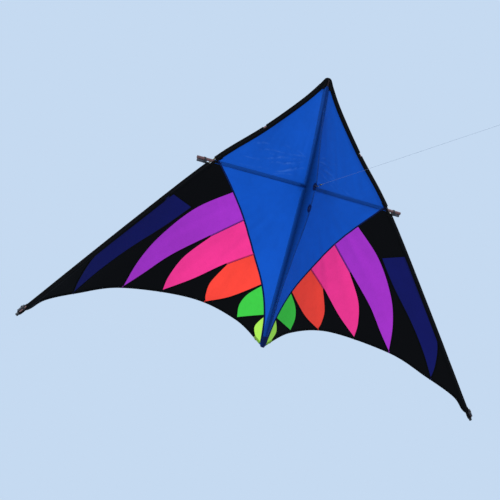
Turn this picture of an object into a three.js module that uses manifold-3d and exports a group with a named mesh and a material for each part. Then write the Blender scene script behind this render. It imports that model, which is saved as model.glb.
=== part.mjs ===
// Delta kite: a spine and two swept leading-edge spars held open by a cross spar, a sail of sewn
// panels with six coloured feathers on each wing, a keel with two tow eyelets, and the flying line.
//
// Millimetres. X runs to the right wing tip, Y away from the flyer, Z from the tail to the nose.
// Everything is first laid out from the point where the spine crosses the cross spar, and the whole
// kite is then shifted so that the origin is the centre of the tow eyelet.

import * as THREE from 'three';
import { mergeVertices } from 'three/addons/utils/BufferGeometryUtils.js';
import Module from 'manifold-3d';

// ---- driving dimensions ----------------------------------------------------------------------

const NOSE_Z = 451;
const TAIL_Z = -688;
const SPINE_BOW = 40;
const LEADING_EDGE_Y = 40;
const UPPER_BILLOW = 12;
const LOWER_BILLOW = 146;
const TIP_X = 1070;
const TIP_Z = -790;
const EDGE_CROWN = 17;

const ROD_R = 3;
const ROD_BACK = 5.5;
const FIT = 0.3;
const CLOTH = 0.8;
const SEAM = 0.6;
const INNER_X = 12.6;

const SPAR_INSET = 5.9;
const SLEEVE_WIDTH = 19;
const HEM_GAP = 1;
const SLEEVE_R = 5.9;
const SLEEVE_BORE_R = 4.9;
const POCKET_R = 5.7;
const POCKET_BORE_R = 4.6;

const HUB_HALF_WIDTH = 9;
const HUB_HEIGHT = 26;
const HUB_BACK = 13;
const ARM_START_X = 11;
const ARM_LENGTH = 34;
const ARM_R = 4.5;
const CROSS_SPAR_RISE = 0.099;
const CROSS_SPAR_END_X = 412.5;
const CONNECTOR_START_X = 406;
const CONNECTOR_END_X = 487;
const CONNECTOR_R = 6.5;
const CONNECTOR_GAP_ABOVE = 30;
const CONNECTOR_GAP_BELOW = 19;

const STOPPER_Z = 193;
const STOPPER_LENGTH = 22;
const TIP_TUBE_LENGTH = 44;
const TIP_CAP_LENGTH = 14;
const TIP_R = 6.6;

const KEEL_TOP_Z = 340;
const KEEL_BOTTOM_Z = -560;
const KEEL_DEPTH = 88;
const KEEL_CLOTH = 1.2;
const KEEL_STANDOFF = 4;
const EYELET_INSET = 12;
const TOW_Z = 2;
const SPARE_EYELET_DROP = 92;
const EYELET_BORE_R = 3;

const LINE_LEAN = THREE.MathUtils.degToRad(12);
const TOW_RING_R = 10.5;
const SNAP_LENGTH = 26;
const BARREL_LENGTH = 12;
const LINE_R = 0.3;
const LINE_LENGTH = 1440;
const END_LOOP_LENGTH = 60;

const GRID_ROWS_BELOW = 10;
const PRISM_REACH = 300;

// ---- materials -------------------------------------------------------------------------------

function material(color, roughness, metalness = 0) {
  return new THREE.MeshStandardMaterial({ color, roughness, metalness, side: THREE.DoubleSide });
}

const cloth = {
  blue: 0x0a4fc0, black: 0x08080c, navy: 0x0b1268, purple: 0xa12bd0,
  pink: 0xf0309a, orange: 0xff5238, green: 0x3fd060, lime: 0xa8f03c,
};
const fibreglass = () => material(0x8a6a48, 0.45);
const vinyl = () => material(0x8c6a60, 0.35);
const blackVinyl = () => material(0x101012, 0.4);
const brass = () => material(0xb89a4a, 0.35, 1);
const steel = () => material(0xb8bcc0, 0.3, 1);
const fabric = (name) => material(cloth[name], 0.6);

// ---- solids: joins and cuts ------------------------------------------------------------------

const wasm = await Module();
wasm.setup();

function withoutShading(geometry) {
  const bare = geometry.clone();
  bare.deleteAttribute('normal');
  bare.deleteAttribute('uv');
  return bare;
}

function toSolid(geometry) {
  const merged = mergeVertices(withoutShading(geometry), 1e-4);
  return new wasm.Manifold(new wasm.Mesh({
    numProp: 3,
    vertProperties: new Float32Array(merged.attributes.position.array),
    triVerts: new Uint32Array(merged.index.array),
  }));
}

function toGeometry(solid) {
  const mesh = solid.getMesh();
  const geometry = new THREE.BufferGeometry();
  geometry.setAttribute('position', new THREE.BufferAttribute(new Float32Array(mesh.vertProperties), 3));
  geometry.setIndex(new THREE.BufferAttribute(new Uint32Array(mesh.triVerts), 1));
  geometry.computeVertexNormals();
  return geometry;
}

function cut(geometry, ...tools) {
  let solid = toSolid(geometry);
  for (const tool of tools) {
    solid = solid.subtract(toSolid(tool));
  }
  return toGeometry(solid);
}

// The same geometry on the other side of the kite's symmetry plane.
function mirrored(geometry) {
  const copy = mergeVertices(withoutShading(geometry), 1e-4);
  const position = copy.attributes.position;
  for (let i = 0; i < position.count; i += 1) {
    position.setX(i, -position.getX(i));
  }
  const index = copy.index.array;
  for (let i = 0; i < index.length; i += 3) {
    [index[i], index[i + 1]] = [index[i + 1], index[i]];
  }
  copy.computeVertexNormals();
  return copy;
}

// ---- the sail's form -------------------------------------------------------------------------

// How far the bowed spine lies behind the cross spar's level.
function spineY(z) {
  const reach = z > 0 ? NOSE_Z : -TAIL_Z;
  return SPINE_BOW * (z / reach) ** 2;
}

// Half the kite's width at a height, used only to shape the billow.
function halfSpan(z) {
  const s = THREE.MathUtils.clamp((NOSE_Z - z) / (NOSE_Z - TIP_Z), 0, 1);
  return Math.max(TIP_X * s + 4 * EDGE_CROWN * s * (1 - s), 1);
}

// The sail's mid-surface: straight along the cross spar, slightly full above it and billowing below.
function sailY(x, z) {
  const v = Math.min(x / halfSpan(z), 1);
  const fullness = z > 0
    ? UPPER_BILLOW * Math.sin(Math.PI * Math.min(z / NOSE_Z, 1))
    : LOWER_BILLOW * z / TIP_Z;
  return spineY(z) * (1 - v) + LEADING_EDGE_Y * v + 4 * fullness * v * (1 - v);
}

// ---- outlines of the right wing, in (x, z) ---------------------------------------------------

function curve(...points) {
  return new THREE.SplineCurve(points.map(([x, z]) => new THREE.Vector2(x, z)));
}

const STEPS_PER_KNOT = 3;

// Points of a curve from one of its knots to another, in either direction.
function run(path, from = 0, to = path.points.length - 1) {
  const last = path.points.length - 1;
  const count = Math.abs(to - from) * STEPS_PER_KNOT;
  return Array.from({ length: count + 1 }, (_, i) => path.getPoint((from + (to - from) * i / count) / last));
}

// Outer side of the leading-edge sleeve. It is hollow above the spar's top and bends outwards where
// the cross spar pushes it.
const edge = curve([10, 465], [87, 358], [236, 193], [427, 5], [721, -347], [1077, -790]);
const EDGE_LENGTH = edge.getLength();

// A point of the leading edge, by length from the nose, moved square to the edge into the sail.
function edgePoint(length, inset) {
  const u = THREE.MathUtils.clamp(length / EDGE_LENGTH, 0, 1);
  const tangent = edge.getTangentAt(u);
  const inwards = new THREE.Vector2(tangent.y, -tangent.x);
  return edge.getPointAt(u).addScaledVector(inwards, inset);
}

// The length from the nose at which the spar's line reaches a height.
function edgeLengthAt(z, inset) {
  let low = 0;
  let high = EDGE_LENGTH;
  for (let i = 0; i < 40; i += 1) {
    const middle = (low + high) / 2;
    if (edgePoint(middle, inset).y > z) {
      low = middle;
    } else {
      high = middle;
    }
  }
  return low;
}

const CROSSING = edgeLengthAt(0, SPAR_INSET);
const SLEEVE_END = EDGE_LENGTH - TIP_TUBE_LENGTH - TIP_CAP_LENGTH;

const trailingEdge = curve(
  [INNER_X, -685], [130, -609], [330, -566], [640, -593], [830, -656], [962, -709],
  [1019, -757],
);

// Seam between the blue centre and the wing, from the cross spar's end to the tail.
const blueSeam = curve(
  [424, 34], [300, -98], [217, -199], [136, -326], [70, -441], [28, -562], [10, -690],
);
// Inner sides of the feathers, from the blue seam to the trailing edge.
const purpleRay = curve([217, -199], [335, -298], [473, -415], [569, -520], [640, -594], [647, -602]);
const pinkRay = curve([136, -326], [232, -393], [350, -490], [463, -567], [476, -577]);
const orangeRay = curve([70, -441], [176, -523], [272, -569], [288, -578]);
const greenRay = curve([28, -562], [131, -601], [142, -612]);
// Outer sides of the feathers. Each leaves its neighbour's inner side and curves to its own tip.
const purpleArc = curve([300, -98], [442, -205], [552, -345], [612, -470], [640, -594], [647, -602]);
const pinkArc = curve([335, -298], [420, -405], [457, -500], [463, -567], [476, -577]);
const orangeArc = curve([232, -393], [276, -480], [280, -538], [272, -569], [288, -578]);
const greenArc = curve([70, -441], [118, -494], [137, -546], [131, -601], [142, -612]);
const limeArc = curve([28, -562], [55, -616], [34, -668], [10, -690]);
// The navy feather stands clear of the others inside the black part of the wing.
const navyArc = curve([562, -168], [640, -262], [737, -372], [817, -495], [848, -600], [850, -665], [851, -680]);
const navyRay = curve([452, -203], [545, -308], [671, -435], [764, -542], [832, -635], [850, -665], [851, -680]);
const navyTop = curve([452, -203], [562, -168]);

const featherOutlines = {
  purple: [...run(blueSeam, 1, 2), ...run(purpleRay, 0, 4), ...run(purpleArc, 4, 0)],
  pink: [...run(blueSeam, 2, 3), ...run(pinkRay, 0, 3), ...run(pinkArc, 3, 0), ...run(purpleRay, 1, 0)],
  orange: [...run(blueSeam, 3, 4), ...run(orangeRay, 0, 2), ...run(orangeArc, 3, 0), ...run(pinkRay, 1, 0)],
  green: [...run(blueSeam, 4, 5), ...run(greenRay, 0, 1), ...run(greenArc, 3, 0)],
  lime: [...run(blueSeam, 5, 6), ...run(limeArc, 3, 0)],
  navy: [...run(navyTop), ...run(navyArc, 0, 5), ...run(navyRay, 5, 0)],
};

// Black gores between neighbouring feathers, closed below the trailing edge.
const goreOutlines = {
  purple_pink: [...run(purpleRay, 1, 5), ...run(pinkArc, 4, 0)],
  pink_orange: [...run(pinkRay, 1, 4), ...run(orangeArc, 4, 0)],
  orange_green: [...run(orangeRay), ...run(greenArc, 4, 0)],
  green_lime: [...run(greenRay), new THREE.Vector2(60, -700), ...run(limeArc, 3, 0)],
};

// ---- building cloth --------------------------------------------------------------------------

// A prism over an (x, z) outline, deep enough to cut through the whole depth of the sail.
function prism(points) {
  const shape = new THREE.Shape(tidy(points).map((p) => new THREE.Vector2(p.x, p.y)));
  const geometry = new THREE.ExtrudeGeometry(shape, { depth: 2 * PRISM_REACH, bevelEnabled: false });
  return geometry.translate(0, 0, -PRISM_REACH).rotateX(Math.PI / 2);
}

// Drops points that repeat the one before.
function tidy(points) {
  return points.filter((p, i) => p.distanceTo(points[(i + points.length - 1) % points.length]) > 0.5);
}

// A narrow strip along a seam, as a closed (x, z) outline.
function seamStrip(points) {
  const line = tidy(points);
  const side = (sign) => line.map((p, i) => {
    const ahead = line[Math.min(i + 1, line.length - 1)];
    const behind = line[Math.max(i - 1, 0)];
    const along = ahead.clone().sub(behind).normalize();
    return new THREE.Vector2(p.x - sign * along.y * SEAM / 2, p.y + sign * along.x * SEAM / 2);
  });
  return [...side(1), ...side(-1).reverse()];
}

// A closed solid from an open surface, with the same triangles on both of its faces.
function thicken(surface, thickness) {
  const top = surface.attributes.position;
  const count = top.count;
  const positions = new Float32Array(count * 6);
  for (let i = 0; i < count; i += 1) {
    positions.set([top.getX(i), top.getY(i) - thickness / 2, top.getZ(i)], 3 * i);
    positions.set([top.getX(i), top.getY(i) + thickness / 2, top.getZ(i)], 3 * (i + count));
  }
  const index = [];
  const rim = new Map();
  const source = surface.index.array;
  for (let i = 0; i < source.length; i += 3) {
    const [a, b, c] = source.slice(i, i + 3);
    index.push(a, b, c, c + count, b + count, a + count);
    for (const [from, to] of [[a, b], [b, c], [c, a]]) {
      if (!rim.delete(`${to} ${from}`)) {
        rim.set(`${from} ${to}`, [from, to]);
      }
    }
  }
  for (const [from, to] of rim.values()) {
    index.push(to, from, from + count, to, from + count, to + count);
  }
  const solid = new THREE.BufferGeometry();
  solid.setAttribute('position', new THREE.BufferAttribute(positions, 3));
  solid.setIndex(index);
  return solid;
}

// A sheet of cloth over one wing, in the sail's form. One of its rows lies on the cross spar, where
// the form has a crease.
function wingSheet() {
  const cell = -TIP_Z / GRID_ROWS_BELOW;
  const rows = GRID_ROWS_BELOW + Math.ceil(NOSE_Z / cell);
  const width = TIP_X - INNER_X;
  const height = rows * cell;
  const surface = new THREE.PlaneGeometry(width, height, Math.round(width / cell), rows);
  surface.rotateX(Math.PI / 2).translate(INNER_X + width / 2, 0, TIP_Z + height / 2);
  const position = surface.attributes.position;
  for (let i = 0; i < position.count; i += 1) {
    position.setY(i, sailY(position.getX(i), position.getZ(i)));
  }
  return thicken(surface, CLOTH);
}

function wingOutline() {
  const first = edgeLengthAt(NOSE_Z - 36, SLEEVE_WIDTH + HEM_GAP);
  const count = 18;
  const leading = Array.from({ length: count + 1 }, (_, i) => (
    edgePoint(first + (SLEEVE_END - first) * i / count, SLEEVE_WIDTH + HEM_GAP)
  ));
  const inner = new THREE.Vector2(INNER_X, leading[0].y);
  return [inner, ...leading, ...run(trailingEdge, 6, 0)];
}

// A panel's main body, without the threads of cloth that a seam leaves where two seams meet.
function mainBody(solid) {
  return solid.decompose().reduce((best, body) => (body.volume() > best.volume() ? body : best));
}

function wingPanels() {
  const wing = toSolid(wingSheet()).intersect(toSolid(prism(wingOutline())));
  const seams = [
    blueSeam, purpleRay, pinkRay, orangeRay, greenRay,
    purpleArc, pinkArc, orangeArc, greenArc, limeArc, navyArc, navyRay, navyTop,
  ].map((path) => toSolid(prism(seamStrip(run(path)))));
  const sewn = seams.reduce((solid, strip) => solid.subtract(strip), wing);
  const blueOutline = [
    new THREE.Vector2(-50, 480), new THREE.Vector2(424, 480), ...run(blueSeam), new THREE.Vector2(-50, -690),
  ];
  const panels = { centre_panel: ['blue', sewn.intersect(toSolid(prism(blueOutline)))] };
  let base = sewn.subtract(toSolid(prism(blueOutline)));
  for (const [name, outline] of Object.entries(featherOutlines)) {
    const region = toSolid(prism(outline));
    panels[`feather_${name}`] = [name, sewn.intersect(region)];
    base = base.subtract(region);
  }
  for (const [name, outline] of Object.entries(goreOutlines)) {
    const region = toSolid(prism(outline));
    panels[`gore_${name}`] = ['black', sewn.intersect(region)];
    base = base.subtract(region);
  }
  // The navy feather reaches the sleeve and leaves two black pieces, beside the feathers and at the tip.
  const [inner, tip] = base.decompose().sort((a, b) => b.volume() - a.volume());
  panels.base_panel = ['black', inner];
  panels.tip_panel = ['black', tip];
  return panels;
}

// ---- building rods, tubes and sleeves --------------------------------------------------------

function ring(outerR, innerR, sides = 12) {
  const round = (radius) => Array.from({ length: sides }, (_, i) => {
    const angle = 2 * Math.PI * i / sides;
    return new THREE.Vector2(radius * Math.cos(angle), radius * Math.sin(angle));
  });
  const shape = new THREE.Shape(round(outerR));
  if (innerR > 0) {
    shape.holes.push(new THREE.Path(round(innerR).reverse()));
  }
  return shape;
}

function sweep(shape, points, steps) {
  const path = points.length > 2 ? new THREE.CatmullRomCurve3(points) : new THREE.LineCurve3(...points);
  return new THREE.ExtrudeGeometry(shape, { extrudePath: path, steps, bevelEnabled: false });
}

function spinePoints(top, bottom, count) {
  return Array.from({ length: count + 1 }, (_, i) => {
    const z = top + (bottom - top) * i / count;
    return new THREE.Vector3(0, spineY(z) + ROD_BACK, z);
  });
}

function alongSpine(shape, top, bottom, steps) {
  return sweep(shape, spinePoints(top, bottom, steps), steps);
}

function edgePoints(from, to, count) {
  return Array.from({ length: count + 1 }, (_, i) => {
    const p = edgePoint(from + (to - from) * i / count, SPAR_INSET);
    return new THREE.Vector3(p.x, LEADING_EDGE_Y + ROD_BACK, p.y);
  });
}

function alongEdge(shape, from, to, steps) {
  return sweep(shape, edgePoints(from, to, steps), steps);
}

// A point of the cross spar's axis.
function crossSparPoint(x) {
  return new THREE.Vector3(x, ROD_BACK + CROSS_SPAR_RISE * x, 0);
}

function alongCrossSpar(shape, from, to) {
  return sweep(shape, [crossSparPoint(from), crossSparPoint(to)], 1);
}

// Section of the leading-edge sleeve: round over the spar, with a flat hem that meets the sail.
// In the section, x points at the flyer and y into the sail.
function sleeveSection() {
  const shape = new THREE.Shape();
  const hemY = SLEEVE_WIDTH - SPAR_INSET;
  const hem = CLOTH * 0.75;
  shape.moveTo(ROD_BACK + hem, hemY);
  shape.lineTo(ROD_BACK - hem, hemY);
  const count = 8;
  for (let i = 0; i <= count; i += 1) {
    const angle = THREE.MathUtils.degToRad(55 + (360 - 55) * i / count);
    shape.lineTo(SLEEVE_R * Math.cos(angle), SLEEVE_R * Math.sin(angle));
  }
  shape.closePath();
  shape.holes.push(new THREE.Path(ring(SLEEVE_BORE_R, 0, 10).getPoints().reverse()));
  return shape;
}

// A cap with a blind bore, standing along +Z with its open end at z = 0.
function cap(radius, boreR, length, boreDepth) {
  const round = Math.min(2, length / 4);
  return new THREE.LatheGeometry([
    [boreR, 0], [radius, 0], [radius, length - round], [radius - round, length], [0, length],
    [0, boreDepth], [boreR, boreDepth], [boreR, 0],
  ].map(([r, y]) => new THREE.Vector2(r, y)), 12).rotateX(Math.PI / 2);
}

// Turns a piece that stands along +Z to a direction and moves it to a point.
function aim(geometry, direction, point) {
  const turn = new THREE.Quaternion().setFromUnitVectors(new THREE.Vector3(0, 0, 1), direction);
  return geometry.applyQuaternion(turn).translate(point.x, point.y, point.z);
}

// ---- one wing --------------------------------------------------------------------------------

function sleevePieces() {
  const nose = edgeLengthAt(NOSE_Z - 22, SPAR_INSET);
  const stopper = edgeLengthAt(STOPPER_Z, SPAR_INSET);
  const upper = alongEdge(sleeveSection(), nose, CROSSING - CONNECTOR_GAP_ABOVE, 10);
  const [window] = edgePoints(stopper, stopper + 1, 1);
  const opening = new THREE.BoxGeometry(14, 20, 14).rotateY(Math.PI / 4);
  const outwards = new THREE.Vector3(7, 0, 7);
  opening.translate(window.x + outwards.x, window.y, window.z + outwards.z);
  const lower = alongEdge(sleeveSection(), CROSSING + CONNECTOR_GAP_BELOW, SLEEVE_END, 12);
  return { le_sleeve_upper: cut(upper, opening), le_sleeve_lower: lower };
}

function sparPieces() {
  const start = edgeLengthAt(STOPPER_Z, SPAR_INSET);
  const end = EDGE_LENGTH - 6;
  const spar = alongEdge(ring(ROD_R, 0, 8), start, end, 14);
  const [top, below] = edgePoints(start - 3, start + STOPPER_LENGTH, 1);
  const down = below.clone().sub(top).normalize();
  const stopper = aim(cap(4.4, ROD_R + 2 * FIT, STOPPER_LENGTH, STOPPER_LENGTH - 3), down.clone().negate(),
    top.clone().addScaledVector(down, STOPPER_LENGTH - 3.5));
  return { le_spar: spar, le_spar_stopper: stopper };
}

function tipPieces() {
  const [start, end] = edgePoints(SLEEVE_END + 1, EDGE_LENGTH, 1);
  const outwards = end.clone().sub(start).normalize();
  const tubeEnd = start.clone().addScaledVector(outwards, TIP_TUBE_LENGTH);
  const tube = sweep(ring(TIP_R, ROD_R + 2 * FIT, 12), [start, tubeEnd], 1);
  const capStart = start.clone().addScaledVector(outwards, TIP_TUBE_LENGTH + FIT);
  const tipCap = aim(cap(TIP_R, ROD_R + 2 * FIT, TIP_CAP_LENGTH - 1, TIP_CAP_LENGTH - 4), outwards, capStart);
  return { tip_tube: tube, tip_cap: tipCap };
}

function crossSparPieces() {
  const rod = alongCrossSpar(ring(ROD_R, 0, 8), ARM_START_X + 2, CROSS_SPAR_END_X);
  const arm = alongCrossSpar(ring(ARM_R, ROD_R + 2 * FIT, 12), ARM_START_X, ARM_START_X + ARM_LENGTH);
  const tube = alongCrossSpar(ring(CONNECTOR_R, ROD_R + 2 * FIT, 12), CONNECTOR_START_X, CONNECTOR_END_X);
  const sparHole = alongEdge(ring(ROD_R + 2 * FIT, 0, 12), CROSSING - 40, CROSSING + 40, 2);
  return { cross_spar: rod, hub_arm: arm, edge_connector: cut(tube, sparHole) };
}

function wingPieces() {
  const pieces = {};
  for (const [name, [colour, solid]] of Object.entries(wingPanels())) {
    pieces[name] = [toGeometry(mainBody(solid)), () => fabric(colour)];
  }
  const sleeves = sleevePieces();
  pieces.le_sleeve_upper = [sleeves.le_sleeve_upper, () => fabric('black')];
  pieces.le_sleeve_lower = [sleeves.le_sleeve_lower, () => fabric('black')];
  const spars = sparPieces();
  pieces.le_spar = [spars.le_spar, fibreglass];
  pieces.le_spar_stopper = [spars.le_spar_stopper, vinyl];
  const tips = tipPieces();
  pieces.tip_tube = [tips.tip_tube, vinyl];
  pieces.tip_cap = [tips.tip_cap, blackVinyl];
  const cross = crossSparPieces();
  pieces.cross_spar = [cross.cross_spar, fibreglass];
  pieces.hub_arm = [cross.hub_arm, blackVinyl];
  pieces.edge_connector = [cross.edge_connector, vinyl];
  return pieces;
}

// ---- spine, hub, nose and tail ---------------------------------------------------------------

function spineGroup() {
  const group = new THREE.Group();
  const rod = ring(ROD_R, 0, 8);
  const pocket = ring(POCKET_R, POCKET_BORE_R, 10);
  const hubGap = HUB_HEIGHT / 2 + 1;
  addMesh(group, 'spine', alongSpine(rod, NOSE_Z - 5, TAIL_Z + 8, 14), fibreglass());
  addMesh(group, 'spine_pocket_upper', alongSpine(pocket, NOSE_Z - 28, hubGap, 6), fabric('blue'));
  addMesh(group, 'spine_pocket_lower', alongSpine(pocket, -hubGap, TAIL_Z + 24, 8), fabric('blue'));
  addMesh(group, 'hub_cross', hubCross(), blackVinyl());
  addMesh(group, 'nose_patch', nosePatch(), fabric('black'));
  addMesh(group, 'tail_cap', tailCap(), blackVinyl());
  return group;
}

// The moulded cross that holds the spine and takes the cross spar's two flexible arms.
function hubCross() {
  const front = ROD_BACK - ROD_R - FIT - 1.4;
  const shape = new THREE.Shape();
  const half = HUB_HEIGHT / 2;
  const corner = 4;
  shape.moveTo(-HUB_HALF_WIDTH + corner, -half);
  shape.lineTo(HUB_HALF_WIDTH - corner, -half);
  shape.lineTo(HUB_HALF_WIDTH, -half + corner);
  shape.lineTo(HUB_HALF_WIDTH, half - corner);
  shape.lineTo(HUB_HALF_WIDTH - corner, half);
  shape.lineTo(-HUB_HALF_WIDTH + corner, half);
  shape.lineTo(-HUB_HALF_WIDTH, half - corner);
  shape.lineTo(-HUB_HALF_WIDTH, -half + corner);
  shape.closePath();
  const body = new THREE.ExtrudeGeometry(shape, { depth: HUB_BACK - front, bevelEnabled: false });
  body.rotateX(Math.PI / 2).translate(0, HUB_BACK, 0);
  return cut(body, alongSpine(ring(ROD_R + FIT, 0, 12), 40, -40, 2));
}

function nosePatch() {
  const height = 24;
  const depth = 13;
  const y = spineY(NOSE_Z) + ROD_BACK;
  const block = new THREE.BoxGeometry(13, depth, height).translate(0, y, NOSE_Z);
  return cut(block, alongSpine(ring(ROD_R + 2 * FIT, 0, 12), NOSE_Z - 4, NOSE_Z - 40, 2));
}

function tailCap() {
  const length = 26;
  const [top, bottom] = spinePoints(TAIL_Z + 22, TAIL_Z, 1);
  const down = bottom.clone().sub(top).normalize();
  return aim(cap(4.8, ROD_R + 2 * FIT, length, length - 9), down, top);
}

// ---- keel, tow ring, snap swivel and line ----------------------------------------------------

const TOW_Y = -(KEEL_DEPTH - EYELET_INSET);
const TOW_POINT = new THREE.Vector3(0, TOW_Y, TOW_Z);
const LINE_DIRECTION = new THREE.Vector3(0, -Math.cos(LINE_LEAN), Math.sin(LINE_LEAN));

// The keel's outline in (y, z): its back follows the bowed spine.
function keel() {
  const shape = new THREE.Shape();
  const back = (z) => spineY(z) - KEEL_STANDOFF;
  shape.moveTo(back(KEEL_TOP_Z) - 6, KEEL_TOP_Z);
  const steps = 10;
  for (let i = 0; i <= steps; i += 1) {
    const z = KEEL_TOP_Z + (KEEL_BOTTOM_Z - KEEL_TOP_Z) * i / steps;
    shape.lineTo(back(z), z);
  }
  shape.lineTo(back(KEEL_BOTTOM_Z) - 6, KEEL_BOTTOM_Z);
  shape.lineTo(-KEEL_DEPTH, TOW_Z - SPARE_EYELET_DROP - 14);
  shape.lineTo(-KEEL_DEPTH, TOW_Z + 10);
  shape.closePath();
  const sheet = new THREE.ExtrudeGeometry(shape, { depth: KEEL_CLOTH, bevelEnabled: false });
  sheet.translate(0, 0, -KEEL_CLOTH / 2);
  standInKeelPlane(sheet);
  const holes = [TOW_Z, TOW_Z - SPARE_EYELET_DROP].map((z) => (
    new THREE.CylinderGeometry(EYELET_BORE_R + 1.3, EYELET_BORE_R + 1.3, 10, 12)
      .rotateZ(Math.PI / 2).translate(0, TOW_Y, z)
  ));
  return cut(sheet, ...holes);
}

// Turns a piece drawn in (y, z, x) into the kite's axes.
function standInKeelPlane(geometry) {
  const turn = new THREE.Matrix4().makeBasis(
    new THREE.Vector3(0, 1, 0), new THREE.Vector3(0, 0, 1), new THREE.Vector3(1, 0, 0),
  );
  return geometry.applyMatrix4(turn);
}

function eyelet(z) {
  const lip = KEEL_CLOTH / 2 + FIT;
  const outer = lip + 0.8;
  const barrel = EYELET_BORE_R + 0.9;
  const flange = EYELET_BORE_R + 3.6;
  const profile = [
    [EYELET_BORE_R, -outer], [flange, -outer], [flange, -lip], [barrel, -lip],
    [barrel, lip], [flange, lip], [flange, outer], [EYELET_BORE_R, outer], [EYELET_BORE_R, -outer],
  ].map(([r, y]) => new THREE.Vector2(r, y));
  return new THREE.LatheGeometry(profile, 14).rotateZ(Math.PI / 2).translate(0, TOW_Y, z);
}

// A point on the line's axis, by distance from the tow point.
function linePoint(distance) {
  return TOW_POINT.clone().addScaledVector(LINE_DIRECTION, distance);
}

// A closed wire loop with straight sides and round ends, standing along +Z from z = 0.
function wireLoop(length, halfWidth, wireR) {
  const loop = new THREE.TorusGeometry(halfWidth, wireR, 6, 12).rotateX(Math.PI / 2);
  const position = loop.attributes.position;
  for (let i = 0; i < position.count; i += 1) {
    const z = position.getZ(i);
    const shift = Math.abs(z) < 1e-3 ? 0 : Math.sign(z) * (length / 2 - halfWidth);
    position.setZ(i, z + shift + length / 2);
  }
  return loop;
}

function towRing() {
  const hoop = new THREE.TorusGeometry(TOW_RING_R, 0.9, 6, 24).rotateX(Math.PI / 2);
  return aim(hoop.translate(0, 0, TOW_RING_R), LINE_DIRECTION, TOW_POINT);
}

const SNAP_START = 2 * TOW_RING_R - 3.4;
const BARREL_START = SNAP_START + SNAP_LENGTH + 1.2;
const EYE_START = BARREL_START + BARREL_LENGTH + 0.5;
const LINE_START = EYE_START + 9;
const LINE_END = LINE_START + LINE_LENGTH;

function snapHook() {
  const loop = wireLoop(SNAP_LENGTH, 3.6, 0.7).rotateZ(Math.PI / 2);
  return aim(loop, LINE_DIRECTION, linePoint(SNAP_START));
}

function swivelBarrel() {
  const profile = [
    [0, 0], [1.4, 0], [1.4, 2.5], [3, 3.5], [3.2, 6], [3, 8.5], [1.6, 9.5],
    [1.6, BARREL_LENGTH], [0, BARREL_LENGTH],
  ].map(([r, y]) => new THREE.Vector2(r, y));
  const barrel = new THREE.LatheGeometry(profile, 10).rotateX(Math.PI / 2);
  return aim(barrel, LINE_DIRECTION, linePoint(BARREL_START));
}

function swivelEye() {
  const eye = new THREE.TorusGeometry(3.4, 0.8, 6, 14).rotateX(Math.PI / 2).translate(0, 0, 4.2);
  return aim(eye, LINE_DIRECTION, linePoint(EYE_START));
}

function flyingLine() {
  return sweep(ring(LINE_R, 0, 8), [linePoint(LINE_START), linePoint(LINE_END)], 6);
}

function lineEndLoop() {
  const loop = wireLoop(END_LOOP_LENGTH, 9, 0.9).rotateZ(Math.PI / 2);
  return aim(loop, LINE_DIRECTION, linePoint(LINE_END + 1));
}

function keelGroup() {
  const group = new THREE.Group();
  addMesh(group, 'keel', keel(), fabric('blue'));
  addMesh(group, 'tow_eyelet', eyelet(TOW_Z), brass());
  addMesh(group, 'spare_eyelet', eyelet(TOW_Z - SPARE_EYELET_DROP), blackVinyl());
  return group;
}

function lineGroup() {
  const group = new THREE.Group();
  addMesh(group, 'tow_ring', towRing(), steel());
  addMesh(group, 'snap_hook', snapHook(), steel());
  addMesh(group, 'swivel_barrel', swivelBarrel(), brass());
  addMesh(group, 'swivel_eye', swivelEye(), steel());
  addMesh(group, 'flying_line', flyingLine(), material(0xd8dcdc, 0.7));
  addMesh(group, 'line_end_loop', lineEndLoop(), material(0xd8dcdc, 0.7));
  return group;
}

// ---- the kite --------------------------------------------------------------------------------

function addMesh(group, name, geometry, finish) {
  const mesh = new THREE.Mesh(geometry, finish);
  mesh.name = name;
  group.add(mesh);
}

function wingGroups() {
  const right = new THREE.Group();
  const left = new THREE.Group();
  for (const [name, [geometry, finish]] of Object.entries(wingPieces())) {
    addMesh(right, `right_${name}`, geometry, finish());
    addMesh(left, `left_${name}`, mirrored(geometry), finish());
  }
  return [right, left];
}

const kite = new THREE.Group();
kite.add(spineGroup(), keelGroup(), lineGroup(), ...wingGroups());
kite.position.copy(TOW_POINT).negate();

export default kite;
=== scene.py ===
"""Delta kite: cloth, seams, fittings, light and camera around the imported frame.

Metres; +X right wing, +Y away from the flyer, +Z to the nose; the origin is the tow eyelet. Layout numbers are
the part's own, in millimetres from the point where the spine crosses the cross spar, and at() turns them into
the row frame.
"""

import math

import bpy
import numpy as np
from mathutils import Matrix, Vector, noise
from mathutils.geometry import delaunay_2d_cdt


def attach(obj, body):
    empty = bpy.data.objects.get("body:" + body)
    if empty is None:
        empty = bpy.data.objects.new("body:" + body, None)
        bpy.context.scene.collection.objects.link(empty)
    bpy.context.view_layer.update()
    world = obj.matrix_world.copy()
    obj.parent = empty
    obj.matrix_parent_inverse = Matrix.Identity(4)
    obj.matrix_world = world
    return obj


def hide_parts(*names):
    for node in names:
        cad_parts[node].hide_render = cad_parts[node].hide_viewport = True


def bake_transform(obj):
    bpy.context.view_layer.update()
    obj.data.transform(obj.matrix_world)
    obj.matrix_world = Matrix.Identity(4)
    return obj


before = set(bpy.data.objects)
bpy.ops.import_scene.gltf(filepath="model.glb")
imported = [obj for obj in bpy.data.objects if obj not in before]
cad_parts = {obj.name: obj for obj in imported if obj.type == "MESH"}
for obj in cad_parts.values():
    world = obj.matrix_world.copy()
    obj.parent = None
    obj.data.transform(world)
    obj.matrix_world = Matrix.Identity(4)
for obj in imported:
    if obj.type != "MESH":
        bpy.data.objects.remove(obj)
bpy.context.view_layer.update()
scene = bpy.context.scene

# ---- the part's dimensions, in mm ----

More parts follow.
